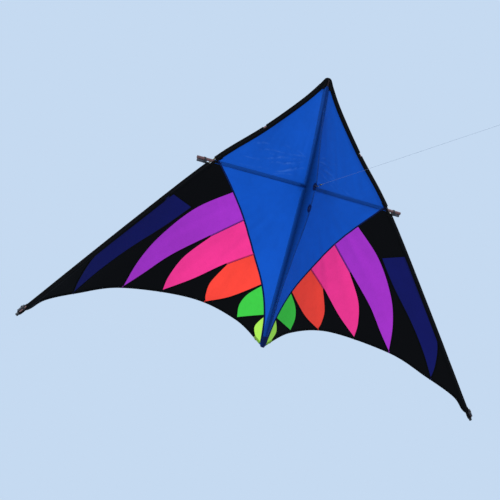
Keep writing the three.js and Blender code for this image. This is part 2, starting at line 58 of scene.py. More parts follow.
NOSE_Z, TAIL_Z, SPINE_BOW = 451, -688, 40
LEADING_EDGE_Y, UPPER_BILLOW, LOWER_BILLOW = 40, 12, 146
TIP_X, TIP_Z, EDGE_CROWN = 1070, -790, 17
ROD_BACK, SPAR_INSET = 5.5, 5.9
CONNECTOR_GAP_ABOVE, CONNECTOR_GAP_BELOW = 30, 19
STOPPER_Z, TIP_TUBE_LENGTH, TIP_CAP_LENGTH = 193, 44, 14
KEEL_TOP_Z, KEEL_BOTTOM_Z, KEEL_DEPTH = 340, -560, 88
TOW_Y, TOW_Z, SPARE_EYELET_DROP = -76, 2, 92
LINE_LEAN, LINE_START, LINE_LENGTH, LINE_R = math.radians(12), 66.3, 1440, 0.3

MM = 0.001
SIDE = {1: "right", -1: "left"}
FRONT = np.array([0.0, -1.0, 0.0])


def at(x, y, z):
    """A point of the part's layout, in the row frame."""
    return Vector((x, y - TOW_Y, z - TOW_Z)) * MM


def line_point(distance):
    """A point of the flying line's axis, by distance from the tow point."""
    return Vector((0, -math.cos(LINE_LEAN), math.sin(LINE_LEAN))) * distance * MM


# ---- camera ----

YAW, PITCH, ROLL = math.radians(24.403), math.radians(1.681), math.radians(13.899)
CAMERA_DISTANCE, KITE_RIGHT, KITE_UP = 7.6907, 0.23583, 0.26413
LENS, SENSOR = 133.272, 36


def add_camera():
    """The camera on the flyer's side. The spars' crossing stands to the right of its axis and above it."""
    look = Vector((math.sin(YAW) * math.cos(PITCH), math.cos(YAW) * math.cos(PITCH), math.sin(PITCH)))
    level = Vector((math.cos(YAW), -math.sin(YAW), 0))
    rise = level.cross(look)
    right = math.cos(ROLL) * level + math.sin(ROLL) * rise
    up = math.cos(ROLL) * rise - math.sin(ROLL) * level
    stand = at(0, 0, 0) - CAMERA_DISTANCE * look - KITE_RIGHT * right - KITE_UP * up
    data = bpy.data.cameras.new("camera")
    data.sensor_width, data.lens = SENSOR, LENS
    data.clip_start, data.clip_end = 0.1, 100
    camera = bpy.data.objects.new("camera", data)
    turn = Matrix((right, up, -look)).transposed()
    camera.matrix_world = Matrix.Translation(stand) @ turn.to_4x4()
    scene.collection.objects.link(camera)
    scene.camera = camera


add_camera()

# ---- materials ----


class Nodes:
    """A small helper that adds nodes to one material."""

    def __init__(self, name):
        self.material = bpy.data.materials.new(name)
        self.material.use_nodes = True
        self.tree = self.material.node_tree
        self.tree.nodes.clear()

    def add(self, kind, inputs=(), **settings):
        node = self.tree.nodes.new(kind)
        for key, value in settings.items():
            setattr(node, key, value)
        for key, value in dict(inputs).items():
            self.put(node.inputs[key], value)
        return node

    def put(self, socket, value):
        if isinstance(value, bpy.types.NodeSocket):
            self.tree.links.new(value, socket)
        else:
            socket.default_value = value

    def math(self, operation, a, b=0.0, c=0.0):
        node = self.add("ShaderNodeMath", operation=operation)
        for socket, value in zip(node.inputs, (a, b, c)):
            self.put(socket, value)
        return node.outputs[0]

    def mix(self, factor, a, b, blend="MIX"):
        node = self.add("ShaderNodeMix", data_type="RGBA", blend_type=blend)
        for socket, value in ((node.inputs[0], factor), (node.inputs[6], a), (node.inputs[7], b)):
            self.put(socket, value)
        return node.outputs[2]

    def noise(self, vector, scale, detail=3.0, roughness=0.5):
        node = self.add("ShaderNodeTexNoise", {"Vector": vector, "Scale": scale, "Detail": detail,
                                               "Roughness": roughness})
        return node.outputs["Fac"]

    def bump(self, height, strength, distance, normal=None):
        inputs = {"Height": height, "Strength": strength, "Distance": distance}
        if normal is not None:
            inputs["Normal"] = normal
        return self.add("ShaderNodeBump", inputs).outputs["Normal"]

    def place(self):
        """Coordinates that stay with the piece."""
        return self.add("ShaderNodeTexCoord").outputs["Object"]

    def along(self):
        """A ribbon's UVs: the distance along it in metres, and -1 to 1 across it."""
        uvs = self.add("ShaderNodeUVMap", uv_map="along").outputs[0]
        return self.add("ShaderNodeSeparateXYZ", {"Vector": uvs})

    def spread(self, value, low, high, to_low=0.0, to_high=1.0, curve="LINEAR"):
        ends = {"Value": value, "From Min": low, "From Max": high, "To Min": to_low, "To Max": to_high}
        return self.add("ShaderNodeMapRange", ends, interpolation_type=curve).outputs[0]

    def principled(self, inputs):
        return self.add("ShaderNodeBsdfPrincipled", inputs).outputs[0]

    def finish(self, shader):
        self.add("ShaderNodeOutputMaterial", {"Surface": shader})
        return self.material


def linear(*rgb):
    """A colour given as it looks on screen, 0 to 255, as linear light with alpha."""
    return (*[(c / 255 / 12.92) if c <= 10 else ((c / 255 + 0.055) / 1.055) ** 2.4 for c in rgb], 1)


def darker(colour, by):
    return tuple(by * c for c in colour[:3]) + (1,)


LIGHT_TINT = (0.88, 1.0, 1.19)


def seen(*rgb):
    """The cloth colour that looks like rgb, 0 to 255, under this scene's bluish light."""
    return (*[min(c / t, 1) for c, t in zip(linear(*rgb), LIGHT_TINT)], 1)


RIPSTOP_PITCH, RIPSTOP_LINE = 0.005, 0.14
THREAD_PITCH, WEAVE_HEIGHT = 0.0007, 0.25


def ripstop(nodes, grain):
    """(height of grid and weave, mask of the grid's thicker threads, a coordinate turned by the grain)."""
    turned = nodes.add("ShaderNodeMapping", {"Vector": nodes.place(), "Rotation": (0, grain, 0)}).outputs[0]
    split = nodes.add("ShaderNodeSeparateXYZ", {"Vector": turned})
    lines, threads = [], []
    for axis in ("X", "Z"):
        cell = nodes.math("FRACT", nodes.math("DIVIDE", split.outputs[axis], RIPSTOP_PITCH))
        lines.append(nodes.math("LESS_THAN", cell, RIPSTOP_LINE))
        turn = nodes.math("MULTIPLY", split.outputs[axis], 2 * math.pi / THREAD_PITCH)
        threads.append(nodes.math("SINE", turn))
    grid = nodes.math("MAXIMUM", *lines)
    height = nodes.math("MULTIPLY_ADD", nodes.math("MULTIPLY", *threads), WEAVE_HEIGHT, grid)
    return height, grid, turned


# Painted highlight: a pale blue mixed into the cloth on the crests of the listed creases, as light catching them;
# how much of it in front and in the light let through.
CREASE_GLINT_COLOUR = (0.24, 0.5, 0.85, 1)
CREASE_GLINT_FRONT, CREASE_GLINT_THROUGH = 0.16, 0.05
CLOTH_ROUGHNESS, CLOTH_GLOW = 0.5, 0.5


def cloth(name, front, through, grain=0.0, gloss=0.3, thread=None, spine_shade=None, soft=None):
    """Thin ripstop: it mirrors softly in front and lets the light behind it through, coloured."""
    nodes = Nodes(name)
    height, grid, turned = ripstop(nodes, grain)
    patches = nodes.noise(turned, 5.0, 4.0, 0.6)
    creased = nodes.noise(turned, 38.0, 5.0, 0.62)
    shade = nodes.math("MULTIPLY_ADD", patches, 0.34, 0.83)
    shade = nodes.math("MULTIPLY_ADD", grid, -0.09, shade)
    # Painted shade and highlight: the colour follows the small crease pattern that also bumps the cloth, darker in
    # its hollows and lighter on its crests.
    shade = nodes.math("MULTIPLY_ADD", nodes.math("SUBTRACT", creased, 0.5), 0.16, shade)
    colours = [nodes.mix(1.0, colour, shade, "MULTIPLY") for colour in (front, through)]
    normal = nodes.bump(creased, 0.3, 0.003)
    # Painted highlight along the crests of the creases, where the mesh's mask and the crease pattern allow it.
    crease_glint = nodes.add("ShaderNodeAttribute", attribute_name="crease_glint").outputs["Fac"]
    crease_glint = nodes.math("MULTIPLY", crease_glint, nodes.spread(creased, 0.42, 0.6))
    colours = [nodes.mix(nodes.math("MULTIPLY", crease_glint, most), colour, CREASE_GLINT_COLOUR)
               for most, colour in zip((CREASE_GLINT_FRONT, CREASE_GLINT_THROUGH), colours)]
    # Painted shade: the cloth darkened across its width, most where its UVs start at -1, which on the keel is the
    # spine where it meets the sail.
    if spine_shade:
        depth = nodes.spread(nodes.along().outputs[1], -1.0, 1.0, *spine_shade)
        colours = [nodes.mix(1.0, colour, depth, "MULTIPLY") for colour in colours]
    # Painted shadow: a band's dark colour gives way to the sail's blue towards its edges, so it reads as a soft
    # shadow.
    if soft:
        off_middle = nodes.math("ABSOLUTE", nodes.along().outputs[1])
        edge = nodes.spread(off_middle, soft, 1.0, curve="SMOOTHSTEP")
        colours = [nodes.mix(edge, colour, blue) for colour, blue in zip(colours, CLOTH["blue"])]
    if thread:
        stitch = stitches(nodes)
        colours = [nodes.mix(stitch, colour, thread) for colour in colours]
        normal = nodes.bump(stitch, 0.6, 0.0006, normal)
    normal = nodes.bump(height, 0.22, 0.0002, normal)
    surface = nodes.principled({
        "Base Color": colours[0], "Normal": normal,
        "Roughness": nodes.math("MULTIPLY_ADD", patches, 0.2, CLOTH_ROUGHNESS - 0.1),
        "Specular IOR Level": gloss, "Sheen Weight": gloss / 4, "Sheen Roughness": 0.4,
    })
    glow = nodes.add("ShaderNodeBsdfTranslucent", {"Color": colours[1], "Normal": normal}).outputs[0]
    return nodes.finish(nodes.add("ShaderNodeMixShader", {0: CLOTH_GLOW, 1: surface, 2: glow}).outputs[0])


STITCH, STITCH_SHARE, STITCH_ROW, STITCH_ROW_HALF = 0.0035, 0.7, 0.62, 0.1


def stitches(nodes):
    """Two rows of thread along a ribbon."""
    along = nodes.along()
    dash = nodes.math("FRACT", nodes.math("DIVIDE", along.outputs[0], STITCH))
    dash = nodes.math("LESS_THAN", dash, STITCH_SHARE)
    off_row = nodes.math("SUBTRACT", nodes.math("ABSOLUTE", along.outputs[1]), STITCH_ROW)
    row = nodes.math("LESS_THAN", nodes.math("ABSOLUTE", off_row), STITCH_ROW_HALF)
    return nodes.math("MULTIPLY", dash, row)


def plastic(name, colour, roughness):
    """Moulded or extruded plastic with a faint tone change and fine scuffs."""
    nodes = Nodes(name)
    tone = nodes.noise(nodes.place(), 90.0, 4.0)
    scuff = nodes.noise(nodes.place(), 600.0, 3.0)
    shade = nodes.math("MULTIPLY_ADD", tone, 0.24, 0.88)
    return nodes.finish(nodes.principled({
        "Base Color": nodes.mix(1.0, colour, shade, "MULTIPLY"), "Specular IOR Level": 0.5,
        "Roughness": nodes.math("MULTIPLY_ADD", scuff, 0.25, roughness - 0.12),
        "Normal": nodes.bump(scuff, 0.15, 0.0004),
    }))


def metal(name, colour, roughness):
    nodes = Nodes(name)
    wear = nodes.noise(nodes.place(), 700.0, 4.0)
    return nodes.finish(nodes.principled({
        "Base Color": nodes.mix(wear, colour, darker(colour, 0.7)), "Metallic": 1.0,
        "Roughness": nodes.math("MULTIPLY_ADD", wear, 0.25, roughness - 0.1),
        "Normal": nodes.bump(wear, 0.1, 0.0003),
    }))


def fibreglass():
    """Pultruded rod: fine fibres along it under a clear resin."""
    nodes = Nodes("fibreglass")
    stretched = nodes.add("ShaderNodeMapping", {"Vector": nodes.place(), "Scale": (400, 400, 60)}).outputs[0]
    fibres = nodes.noise(stretched, 4.0)
    return nodes.finish(nodes.principled({
        "Base Color": nodes.mix(fibres, linear(104, 90, 52), linear(66, 54, 30)), "Coat Weight": 0.3,
        "Roughness": nodes.math("MULTIPLY_ADD", fibres, 0.2, 0.3), "Normal": nodes.bump(fibres, 0.2, 0.0003),
    }))


def braid():
    """The line's twisted fibres."""
    nodes = Nodes("braided_line")
    twist = nodes.add("ShaderNodeTexWave", {"Vector": nodes.place(), "Scale": 900.0, "Distortion": 2.0},
                      bands_direction="DIAGONAL").outputs["Fac"]
    return nodes.finish(nodes.principled({
        "Base Color": nodes.mix(twist, linear(112, 126, 150), linear(84, 98, 124)),
        "Roughness": nodes.math("MULTIPLY_ADD", twist, 0.2, 0.6), "Normal": nodes.bump(twist, 0.5, 0.0002),
    }))


# Colours of the cloth: what it mirrors, what it lets through, the turn of its grain and its gloss.
CLOTH = {
    "blue": (seen(10, 82, 188), seen(6, 75, 190), 0.2, 0.18),
    "black": (seen(9, 9, 12), seen(2, 2, 3), 0.0, 0.1),
    "navy": (seen(15, 20, 84), seen(9, 14, 90), 0.7, 0.15),
    "purple": (seen(156, 48, 192), seen(162, 44, 202), 0.75, 0.25),
    "pink": (seen(234, 54, 142), seen(242, 48, 148), 0.6, 0.25),
    "orange": (seen(246, 66, 55), seen(252, 64, 52), 0.45, 0.25),
    "green": (seen(60, 190, 66), seen(54, 198, 66), 0.3, 0.25),
    "lime": (seen(164, 224, 86), seen(168, 234, 84), 0.15, 0.25),
}
panel_material = {k: cloth(f"{k}_ripstop", a, b, g, gloss=s) for k, (a, b, g, s) in CLOTH.items()}

# A seam is three layers of the cloth, which let less light through, with its thread.
SEAM_FRONT, SEAM_THROUGH, THREAD_SHADE = 0.8, 0.5, 1.15
seam_material = {
    k: cloth(f"{k}_seam", darker(a, SEAM_FRONT), darker(b, SEAM_THROUGH), g, gloss=s,
             thread=darker(a, THREAD_SHADE))
    for k, (a, b, g, s) in CLOTH.items()
}
# How much of the middle of each painted shadow band keeps its full dark colour.
SPINE_SHADOW_CORE, SPAR_SHADOW_CORE = 0.12, 0.1
edging = cloth("dark_blue_edging", seen(5, 30, 100), seen(2, 14, 60), 0.2, gloss=0.15, thread=seen(8, 44, 120))
# The spine's seam tape, also darkened into a painted shadow of the spine and its pocket behind the cloth.
spine_tape_and_shadow = cloth("spine_tape_and_shadow", seen(9, 60, 150), seen(8, 54, 144), gloss=0.1, soft=SPINE_SHADOW_CORE)
# A painted shadow of the cross spar, seen through the cloth.
spar_shadow = cloth("spar_shadow", seen(6, 50, 136), seen(4, 44, 130), gloss=0.1, soft=SPAR_SHADOW_CORE)
pocket_cloth = cloth("spine_pocket", seen(10, 52, 140), seen(3, 24, 90), gloss=0.2, thread=seen(12, 62, 150))
keel_binding = cloth("keel_binding", seen(8, 66, 160), seen(4, 48, 140), gloss=0.15, thread=seen(20, 100, 210))
# The keel's cloth carries a painted shade, darkest along the spine and a little dark out to its front edge.
keel_cloth = cloth("keel_ripstop", seen(10, 82, 184), seen(8, 74, 186), 0.2, gloss=0.15, spine_shade=(0.34, 0.88))
sleeve_material = cloth("black_sleeve", seen(9, 9, 12), seen(2, 2, 3), gloss=0.1, thread=seen(26, 26, 30))
webbing = cloth("brown_webbing", seen(52, 40, 44), seen(8, 6, 6), gloss=0.15, thread=seen(84, 70, 70))
vinyl = plastic("clear_brown_vinyl", linear(98, 62, 58), 0.35)
dark_vinyl = plastic("grey_vinyl", linear(52, 52, 58), 0.4)
black_vinyl = plastic("black_vinyl", linear(17, 17, 20), 0.42)
rod = fibreglass()
steel = metal("dark_steel", linear(70, 74, 80), 0.36)
brass = metal("brass", linear(96, 84, 60), 0.4)
line_material = braid()

# ---- curves of the sail ----


def spline(knots, t):
    """The uniform Catmull-Rom curve through the knots, at t from 0 to the last knot's number."""
    knots = np.array(knots, float)
    last = len(knots) - 1
    t = np.clip(np.asarray(t, float), 0, last)
    i = np.minimum(t.astype(int), last - 1)
    w = (t - i)[..., None]
    p0, p1 = knots[np.maximum(i - 1, 0)], knots[i]
    p2, p3 = knots[i + 1], knots[np.minimum(i + 2, last)]
    v0, v1 = (p2 - p0) / 2, (p3 - p1) / 2
    return (2 * p1 - 2 * p2 + v0 + v1) * w**3 + (3 * p2 - 3 * p1 - 2 * v0 - v1) * w**2 + v0 * w + p1


def run(knots, first=0, last=None, step=6.0):
    """Points along the curve from one knot to another, in either direction, about step mm apart."""
    last = len(knots) - 1 if last is None else last
    fine = spline(knots, np.linspace(first, last, 60 * abs(last - first) + 1))
    return evenly(fine, step)


def lengths(points):
    """The distance along a line at each of its points."""
    return np.concatenate([[0], np.cumsum(np.linalg.norm(np.diff(points, axis=0), axis=1))])


def evenly(points, step):
    """The same line with points about step apart."""
    length = lengths(points)
    marks = np.linspace(0, length[-1], max(int(round(length[-1] / step)), 1) + 1)
    return np.stack([np.interp(marks, length, points[:, k]) for k in (0, 1)], axis=1)


EDGE = [(10, 465), (87, 358), (236, 193), (427, 5), (721, -347), (1077, -790)]
TRAILING = [
    (0, -689), (12.6, -685), (130, -609), (330, -566), (640, -593), (830, -656), (962, -709), (1017, -755),
    (1036, -767),
]
# Seams by their knots. The first word of a name is the colour.
SEAMS = {
    "blue": [(424, 34), (300, -98), (217, -199), (136, -326), (70, -441), (28, -562), (10, -690)],
    "purple_ray": [(217, -199), (335, -298), (473, -415), (569, -520), (640, -594), (647, -602)],
    "pink_ray": [(136, -326), (232, -393), (350, -490), (463, -567), (476, -577)],
    "orange_ray": [(70, -441), (176, -523), (272, -569), (288, -578)],
    "green_ray": [(28, -562), (131, -601), (142, -612)],
    "purple_arc": [(300, -98), (442, -205), (552, -345), (612, -470), (640, -594), (647, -602)],
    "pink_arc": [(335, -298), (420, -405), (457, -500), (463, -567), (476, -577)],
    "orange_arc": [(232, -393), (276, -480), (280, -538), (272, -569), (288, -578)],
    "green_arc": [(70, -441), (118, -494), (137, -546), (131, -601), (142, -612)],
    "lime_arc": [(28, -562), (55, -616), (34, -668), (10, -690)],
    "navy_arc": [(562, -168), (640, -262), (737, -372), (817, -495), (848, -600), (850, -665), (851, -680)],
    "navy_ray": [(452, -203), (545, -308), (671, -435), (764, -542), (832, -635), (850, -665), (851, -680)],
    "navy_top": [(452, -203), (562, -168)],
}

edge_fine = spline(EDGE, np.linspace(0, len(EDGE) - 1, 2501))
edge_marks = lengths(edge_fine)
EDGE_LENGTH = edge_marks[-1]


def on_edge(length):
    """Points of the leading edge in (x, z), by length from the nose."""
    return np.stack([np.interp(length, edge_marks, edge_fine[:, k]) for k in (0, 1)], axis=-1)


def edge_point(length, inset=0.0):
    """A point of the leading edge in (x, z), by length from the nose, moved into the sail by inset."""
    middle = np.clip(np.asarray(length, float), 0.5, EDGE_LENGTH - 0.5)
    along = on_edge(middle + 0.5) - on_edge(middle - 0.5)
    along /= np.linalg.norm(along, axis=-1, keepdims=True)
    inwards = np.stack([along[..., 1], -along[..., 0]], axis=-1)
    return on_edge(length) + inwards * np.asarray(inset, float)[..., None]


def edge_length_at(z, inset):
    """The length from the nose at which a line inset from the leading edge reaches a height."""
    marks = np.linspace(0, EDGE_LENGTH, 4001)
    return float(np.interp(-z, -edge_point(marks, inset)[:, 1], marks))


CROSSING = edge_length_at(0, SPAR_INSET)
SLEEVE_END = EDGE_LENGTH - TIP_TUBE_LENGTH - TIP_CAP_LENGTH
STOPPER_AT = edge_length_at(STOPPER_Z, SPAR_INSET)


def spine_y(z):
    """How far the bowed spine stands back at a height."""
    reach = np.where(np.asarray(z) > 0, NOSE_Z, -TAIL_Z)
    return SPINE_BOW * (np.asarray(z) / reach) ** 2


def half_span(z):
    """The straight leading edge's reach and its crown, at a height."""
    s = np.clip((NOSE_Z - z) / (NOSE_Z - TIP_Z), 0, 1)
    return np.maximum(TIP_X * s + 4 * EDGE_CROWN * s * (1 - s), 1)


def form_y(x, z):
    """The sail's smooth form, as in the CAD."""
    v = np.minimum(np.abs(x) / half_span(z), 1)
    above = UPPER_BILLOW * np.sin(math.pi * np.clip(z / NOSE_Z, 0, 1))
    full = np.where(z > 0, above, LOWER_BILLOW * z / TIP_Z)
    return spine_y(z) * (1 - v) + LEADING_EDGE_Y * v + 4 * full * v * (1 - v)


def hash_wave(u, seed):
    """Smooth noise in one number, from -1 to 1."""
    values = [noise.noise(Vector((float(a), seed * 7.31, seed * 1.7))) for a in np.ravel(u)]
    return np.array(values).reshape(np.shape(u))


# Creases in the cloth: (x, z) of both ends, width across and height in mm. Negative x is the left wing.
CREASES = [
    (-268, 118, -196, 128, 5, 1.5), (-236, 98, -150, 108, 4, 1.4), (-206, 74, -104, 92, 5, 1.9),
    (-178, 52, -70, 84, 5, 1.7), (-150, 30, -44, 62, 5, 1.8), (-118, 118, -34, 112, 4, 1.7),
    (-92, 98, -26, 101, 4, 1.6), (-212, 154, -160, 160, 4, 1.1), (-300, 60, -204, 50, 4, 1.0),
    (-250, 30, -166, 24, 4, 1.0), (-318, 20, -226, 12, 4, 0.8), (-138, 150, -66, 139, 4, 1.1),
    (-190, 88, -120, 100, 4, 1.2), (-130, 66, -40, 90, 4, 1.6), (-110, 40, -30, 72, 4, 1.5),
    (-160, 10, -60, 34, 4, 1.2), (-84, 130, -28, 122, 4, 1.2), (-170, 112, -100, 118, 4, 1.2),
    (26, 112, 112, 104, 5, 1.5), (34, 96, 128, 78, 5, 1.3), (40, 76, 118, 44, 4, 1.3),
    (66, 132, 142, 126, 4, 1.1), (96, 62, 168, 24, 4, 1.1), (140, 40, 236, 14, 4, 1.0),
    (28, 52, 84, 18, 5, 1.2), (58, 90, 150, 60, 4, 1.2), (80, 50, 132, 20, 4, 1.1), (24, 130, 84, 134, 4, 1.1),
]
CREASE_DEPTH = 1.25
RIDGE_REACH, RIDGE_WIDTH, RIDGE_HEIGHT = 414, 7, 2.2


def creases(x, z, side):
    """Height of the listed creases of one wing."""
    total = np.zeros(np.shape(x))
    for x0, z0, x1, z1, width, height in CREASES:
        if np.sign(x0) != side:
            continue
        start, step = np.array([abs(x0), z0]), np.array([abs(x1) - abs(x0), z1 - z0])
        length = np.linalg.norm(step)
        along = ((x - start[0]) * step[0] + (z - start[1]) * step[1]) / length**2
        across = ((x - start[0]) * step[1] - (z - start[1]) * step[0]) / length
        across = across + 5 * np.sin(3.4 * along + x0)
        fall = np.exp(-(2 * np.clip(np.abs(along - 0.5) - 0.25, 0, 2) / 0.5) ** 2)
        total += height * fall * (1 - (across / width) ** 2) * np.exp(-((across / width) ** 2))
    return CREASE_DEPTH * total


def wrinkles(x, z, side):
    """Small folds of the cloth in mm: fans from the nose and the spar's ends, scallops by the trailing edge,
    short creases above the cross spar, and the ridge where the cloth lies on the spar."""
    x, z = np.abs(np.asarray(x, float)), np.asarray(z, float)
    below_nose = NOSE_Z + 20 - z
    fan = hash_wave(np.arctan2(x, below_nose) * 22 + np.hypot(x, below_nose) / 210, 3 + side)
    total = np.clip(z / 60, 0, 1) * 1.3 * np.clip(np.hypot(x, below_nose) / 120, 0, 1) * fan
    corner = np.hypot(x - 410, z - 5)
    pull = hash_wave(np.arctan2(z - 5, 410 - x) * 7, 11 + side)
    total += 1.9 * np.exp(-corner / 170) * np.clip(corner / 40, 0, 1) * pull
    sweep = hash_wave(np.arctan2(x, -z + 60) * 16 + corner / 500, 23 + side)
    total += np.clip(-z / 200, 0, 1) * 2.6 * np.clip(x / 150, 0, 1) * sweep
    total += creases(x, z, side)
    ends = np.clip((RIDGE_REACH - x) / 20, 0, 1) * np.clip((x - 10) / 20, 0, 1)
    total -= ends * RIDGE_HEIGHT * np.exp(-((z / RIDGE_WIDTH) ** 2))
    return total * np.clip(x / 25, 0, 1)


def sail_y(x, z, side):
    """The y of the cloth: its smooth form and its small folds."""
    return form_y(np.abs(x), z) + wrinkles(x, z, side)


# ---- meshes ----


def add_object(name, data):
    obj = bpy.data.objects.new(name, data)
    scene.collection.objects.link(obj)
    return obj


def add_mesh(name, points, faces, materials, face_materials=None, uvs=None, crease_glint=None):
    """A mesh object from points in the row frame, in metres."""
    mesh = bpy.data.meshes.new(name)
    mesh.from_pydata([tuple(p) for p in points], [], [tuple(map(int, f)) for f in faces])
    for material in materials:
        mesh.materials.append(material)
    if face_materials is not None:
        mesh.polygons.foreach_set("material_index", np.array(face_materials, np.int32))
    if uvs is not None:
        layer = mesh.uv_layers.new(name="along")
        index = np.zeros(len(mesh.loops), np.int32)
        mesh.loops.foreach_get("vertex_index", index)
        layer.data.foreach_set("uv", np.array(uvs, np.float32)[index].ravel())
    # A mask for the painted highlight on the crests of the creases.
    if crease_glint is not None:
        mesh.attributes.new("crease_glint", "FLOAT", "POINT").data.foreach_set("value", np.array(crease_glint, np.float32))
    mesh.polygons.foreach_set("use_smooth", np.full(len(mesh.polygons), True))
    mesh.update()
    return add_object(name, mesh)


def grid_faces(rows, columns, flip=False, closed=False):
    """Quads of a grid of points, row after row. A closed grid joins its last column to its first."""
    faces = []
    for r in range(rows - 1):
        for c in range(columns if closed else columns - 1):
            d = (c + 1) % columns
            quad = (r * columns + c, r * columns + d, (r + 1) * columns + d, (r + 1) * columns + c)
            faces.append(quad[::-1] if flip else quad)
    return faces


def add_grid(name, rows, columns, spot, material, thickness=0.0, flip=False, closed=False):
    """A piece from a grid. spot(r, c) gives the point and the UV there."""
    points, uvs = zip(*[spot(r, c) for r in range(rows) for c in range(columns)])
    obj = add_mesh(name, points, grid_faces(rows, columns, flip, closed), [material], uvs=uvs)
    if thickness:
        thicken(obj, thickness)
    return obj


def thicken(obj, thickness):
    """Give a sheet a thickness, in mm, shared between both sides."""
    modifier = obj.modifiers.new("cloth", "SOLIDIFY")
    modifier.thickness, modifier.offset = thickness * MM, 0


def settle(obj, body):
    """Let a piece ride on a body."""
    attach(obj, body)


def share(i, count):
    """Where item i of count lies, from -1 to 1."""
    return -1 + 2 * i / (count - 1)


def place(points, y, side):
    """Points (x, z) of the right wing and their y, in mm, as points in the row frame on either wing."""
    points = np.asarray(points, float)
    return np.stack([side * points[:, 0], np.asarray(y) - TOW_Y, points[:, 1] - TOW_Z], axis=1) * MM


def hang_on_wing(obj, side):
    """Bake the cloth's placing in the row frame into its mesh."""
    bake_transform(obj)


def inside(points, outline):
    """Which points lie in a closed (x, z) outline."""
    x, z = points[:, 0][:, None], points[:, 1][:, None]
    a, b = np.asarray(outline), np.roll(np.asarray(outline), -1, axis=0)
    spans = (a[:, 1] > z) != (b[:, 1] > z)
    with np.errstate(divide="ignore", invalid="ignore"):
        cross = x < (b[:, 0] - a[:, 0]) * (z - a[:, 1]) / (b[:, 1] - a[:, 1]) + a[:, 0]
    return (spans & cross).sum(axis=1) % 2 == 1


def join(*runs):
    return np.concatenate([np.asarray(r, float) for r in runs])


SAIL_EDGE_INSET = 9.0
first = edge_length_at(NOSE_Z - 18, SAIL_EDGE_INSET)
leading = edge_point(np.linspace(first, SLEEVE_END + 14, 262), SAIL_EDGE_INSET)
trailing = run(TRAILING)
spine_side = np.stack([np.zeros(190), np.linspace(leading[0, 1], trailing[0, 1], 190)], axis=1)
wing_outline = join(spine_side[::-1], leading, trailing[::-1][:-1])

# Outlines of the panels, by seams from one knot to another and points. The first that a cloth triangle lies in
# is its panel.
REGIONS = {
    "feather_purple": [("blue", 1, 2), ("purple_ray", 0, 4), ("purple_arc", 4, 0)],
    "feather_pink": [("blue", 2, 3), ("pink_ray", 0, 3), ("pink_arc", 3, 0), ("purple_ray", 1, 0)],
    "feather_orange": [("blue", 3, 4), ("orange_ray", 0, 2), ("orange_arc", 3, 0), ("pink_ray", 1, 0)],
    "feather_green": [("blue", 4, 5), ("green_ray", 0, 1), ("green_arc", 3, 0)],
    "feather_lime": [("blue", 5, 6), ("lime_arc", 3, 0)],
    "feather_navy": [("navy_top",), ("navy_arc", 0, 5), ("navy_ray", 5, 0)],
    "gore_purple_pink": [("purple_ray", 1, 5), ("pink_arc", 4, 0)],
    "gore_pink_orange": [("pink_ray", 1, 4), ("orange_arc", 4, 0)],
    "gore_orange_green": [("orange_ray",), ("green_arc", 4, 0)],
    "gore_green_lime": [("green_ray",), (60, -700), ("lime_arc", 3, 0)],
    "centre_panel": [(-50, 480), (424, 480), ("blue",), (10, -720), (-50, -720)],
    "tip_panel": [(562, -60), ("navy_arc",), (851, -720), (1100, -900), (1200, -60)],
}
OUTLINES = {name: join(*[run(SEAMS[p[0]], *p[1:]) if p[0] in SEAMS else [p] for p in parts])
            for name, parts in REGIONS.items()}
COLOUR_OF = {name: name.split("_")[1] if "feather" in name else "black" for name in [*REGIONS, "base_panel"]}
COLOUR_OF["centre_panel"] = "blue"
GRID, FINE_GRID, FINE_REACH, FINE_TOP = 8.5, 4.6, 330, 175


def triangulate_wing():
    """(points, triangles, region name of each triangle) of the flat wing, with every seam as an edge line."""
    lines = [np.vstack([wing_outline, wing_outline[:1]])] + [run(knots) for knots in SEAMS.values()]
    points, edges = [], []
    for line in lines:
        base = len(points)
        points.extend(line)
        edges.extend((base + i, base + i + 1) for i in range(len(line) - 1))
    fine = join([(0, -14), (FINE_REACH, -14), (FINE_REACH, 60), (150, FINE_TOP), (0, FINE_TOP)])
    taken = np.array(points)
    for pitch, wanted in ((GRID, False), (FINE_GRID, True)):
        rows = np.arange(TIP_Z, NOSE_Z, pitch * math.sqrt(3) / 2)
        grid = np.array([(x + (k % 2) * pitch / 2, z)
                         for k, z in enumerate(rows) for x in np.arange(0, TIP_X, pitch)])
        grid = grid[inside(grid, wing_outline) & (inside(grid, fine) == wanted)]
        near = np.array([np.min(np.hypot(*(taken - p).T)) for p in grid])
        points.extend(grid[near > 0.55 * pitch])
    made = delaunay_2d_cdt([Vector(p) for p in points], edges, [], 0, 1e-3)
    flat = np.array([tuple(v) for v in made[0]])
    triangles = np.array([f for f in made[2] if len(f) == 3])
    middle = flat[triangles].mean(axis=1)
    keep = inside(middle, wing_outline)
    triangles, middle = triangles[keep], middle[keep]
    region = np.full(len(triangles), "base_panel", dtype=object)
    for name, outline in OUTLINES.items():
        region[inside(middle, outline) & (region == "base_panel")] = name
    return flat, triangles, region


flat, triangles, region = triangulate_wing()


def smallest_box(points):
    """(shorter side, longer side) of the smallest rectangle round flat points."""
    best = None
    for angle in np.radians(np.arange(0, 90, 3)):
        c, s = math.cos(angle), math.sin(angle)
        u, v = points @ (c, s), points @ (-s, c)
        box = sorted((np.ptp(u), np.ptp(v)))
        if best is None or box[0] * box[1] < best[0] * best[1]:
            best = box
    return best


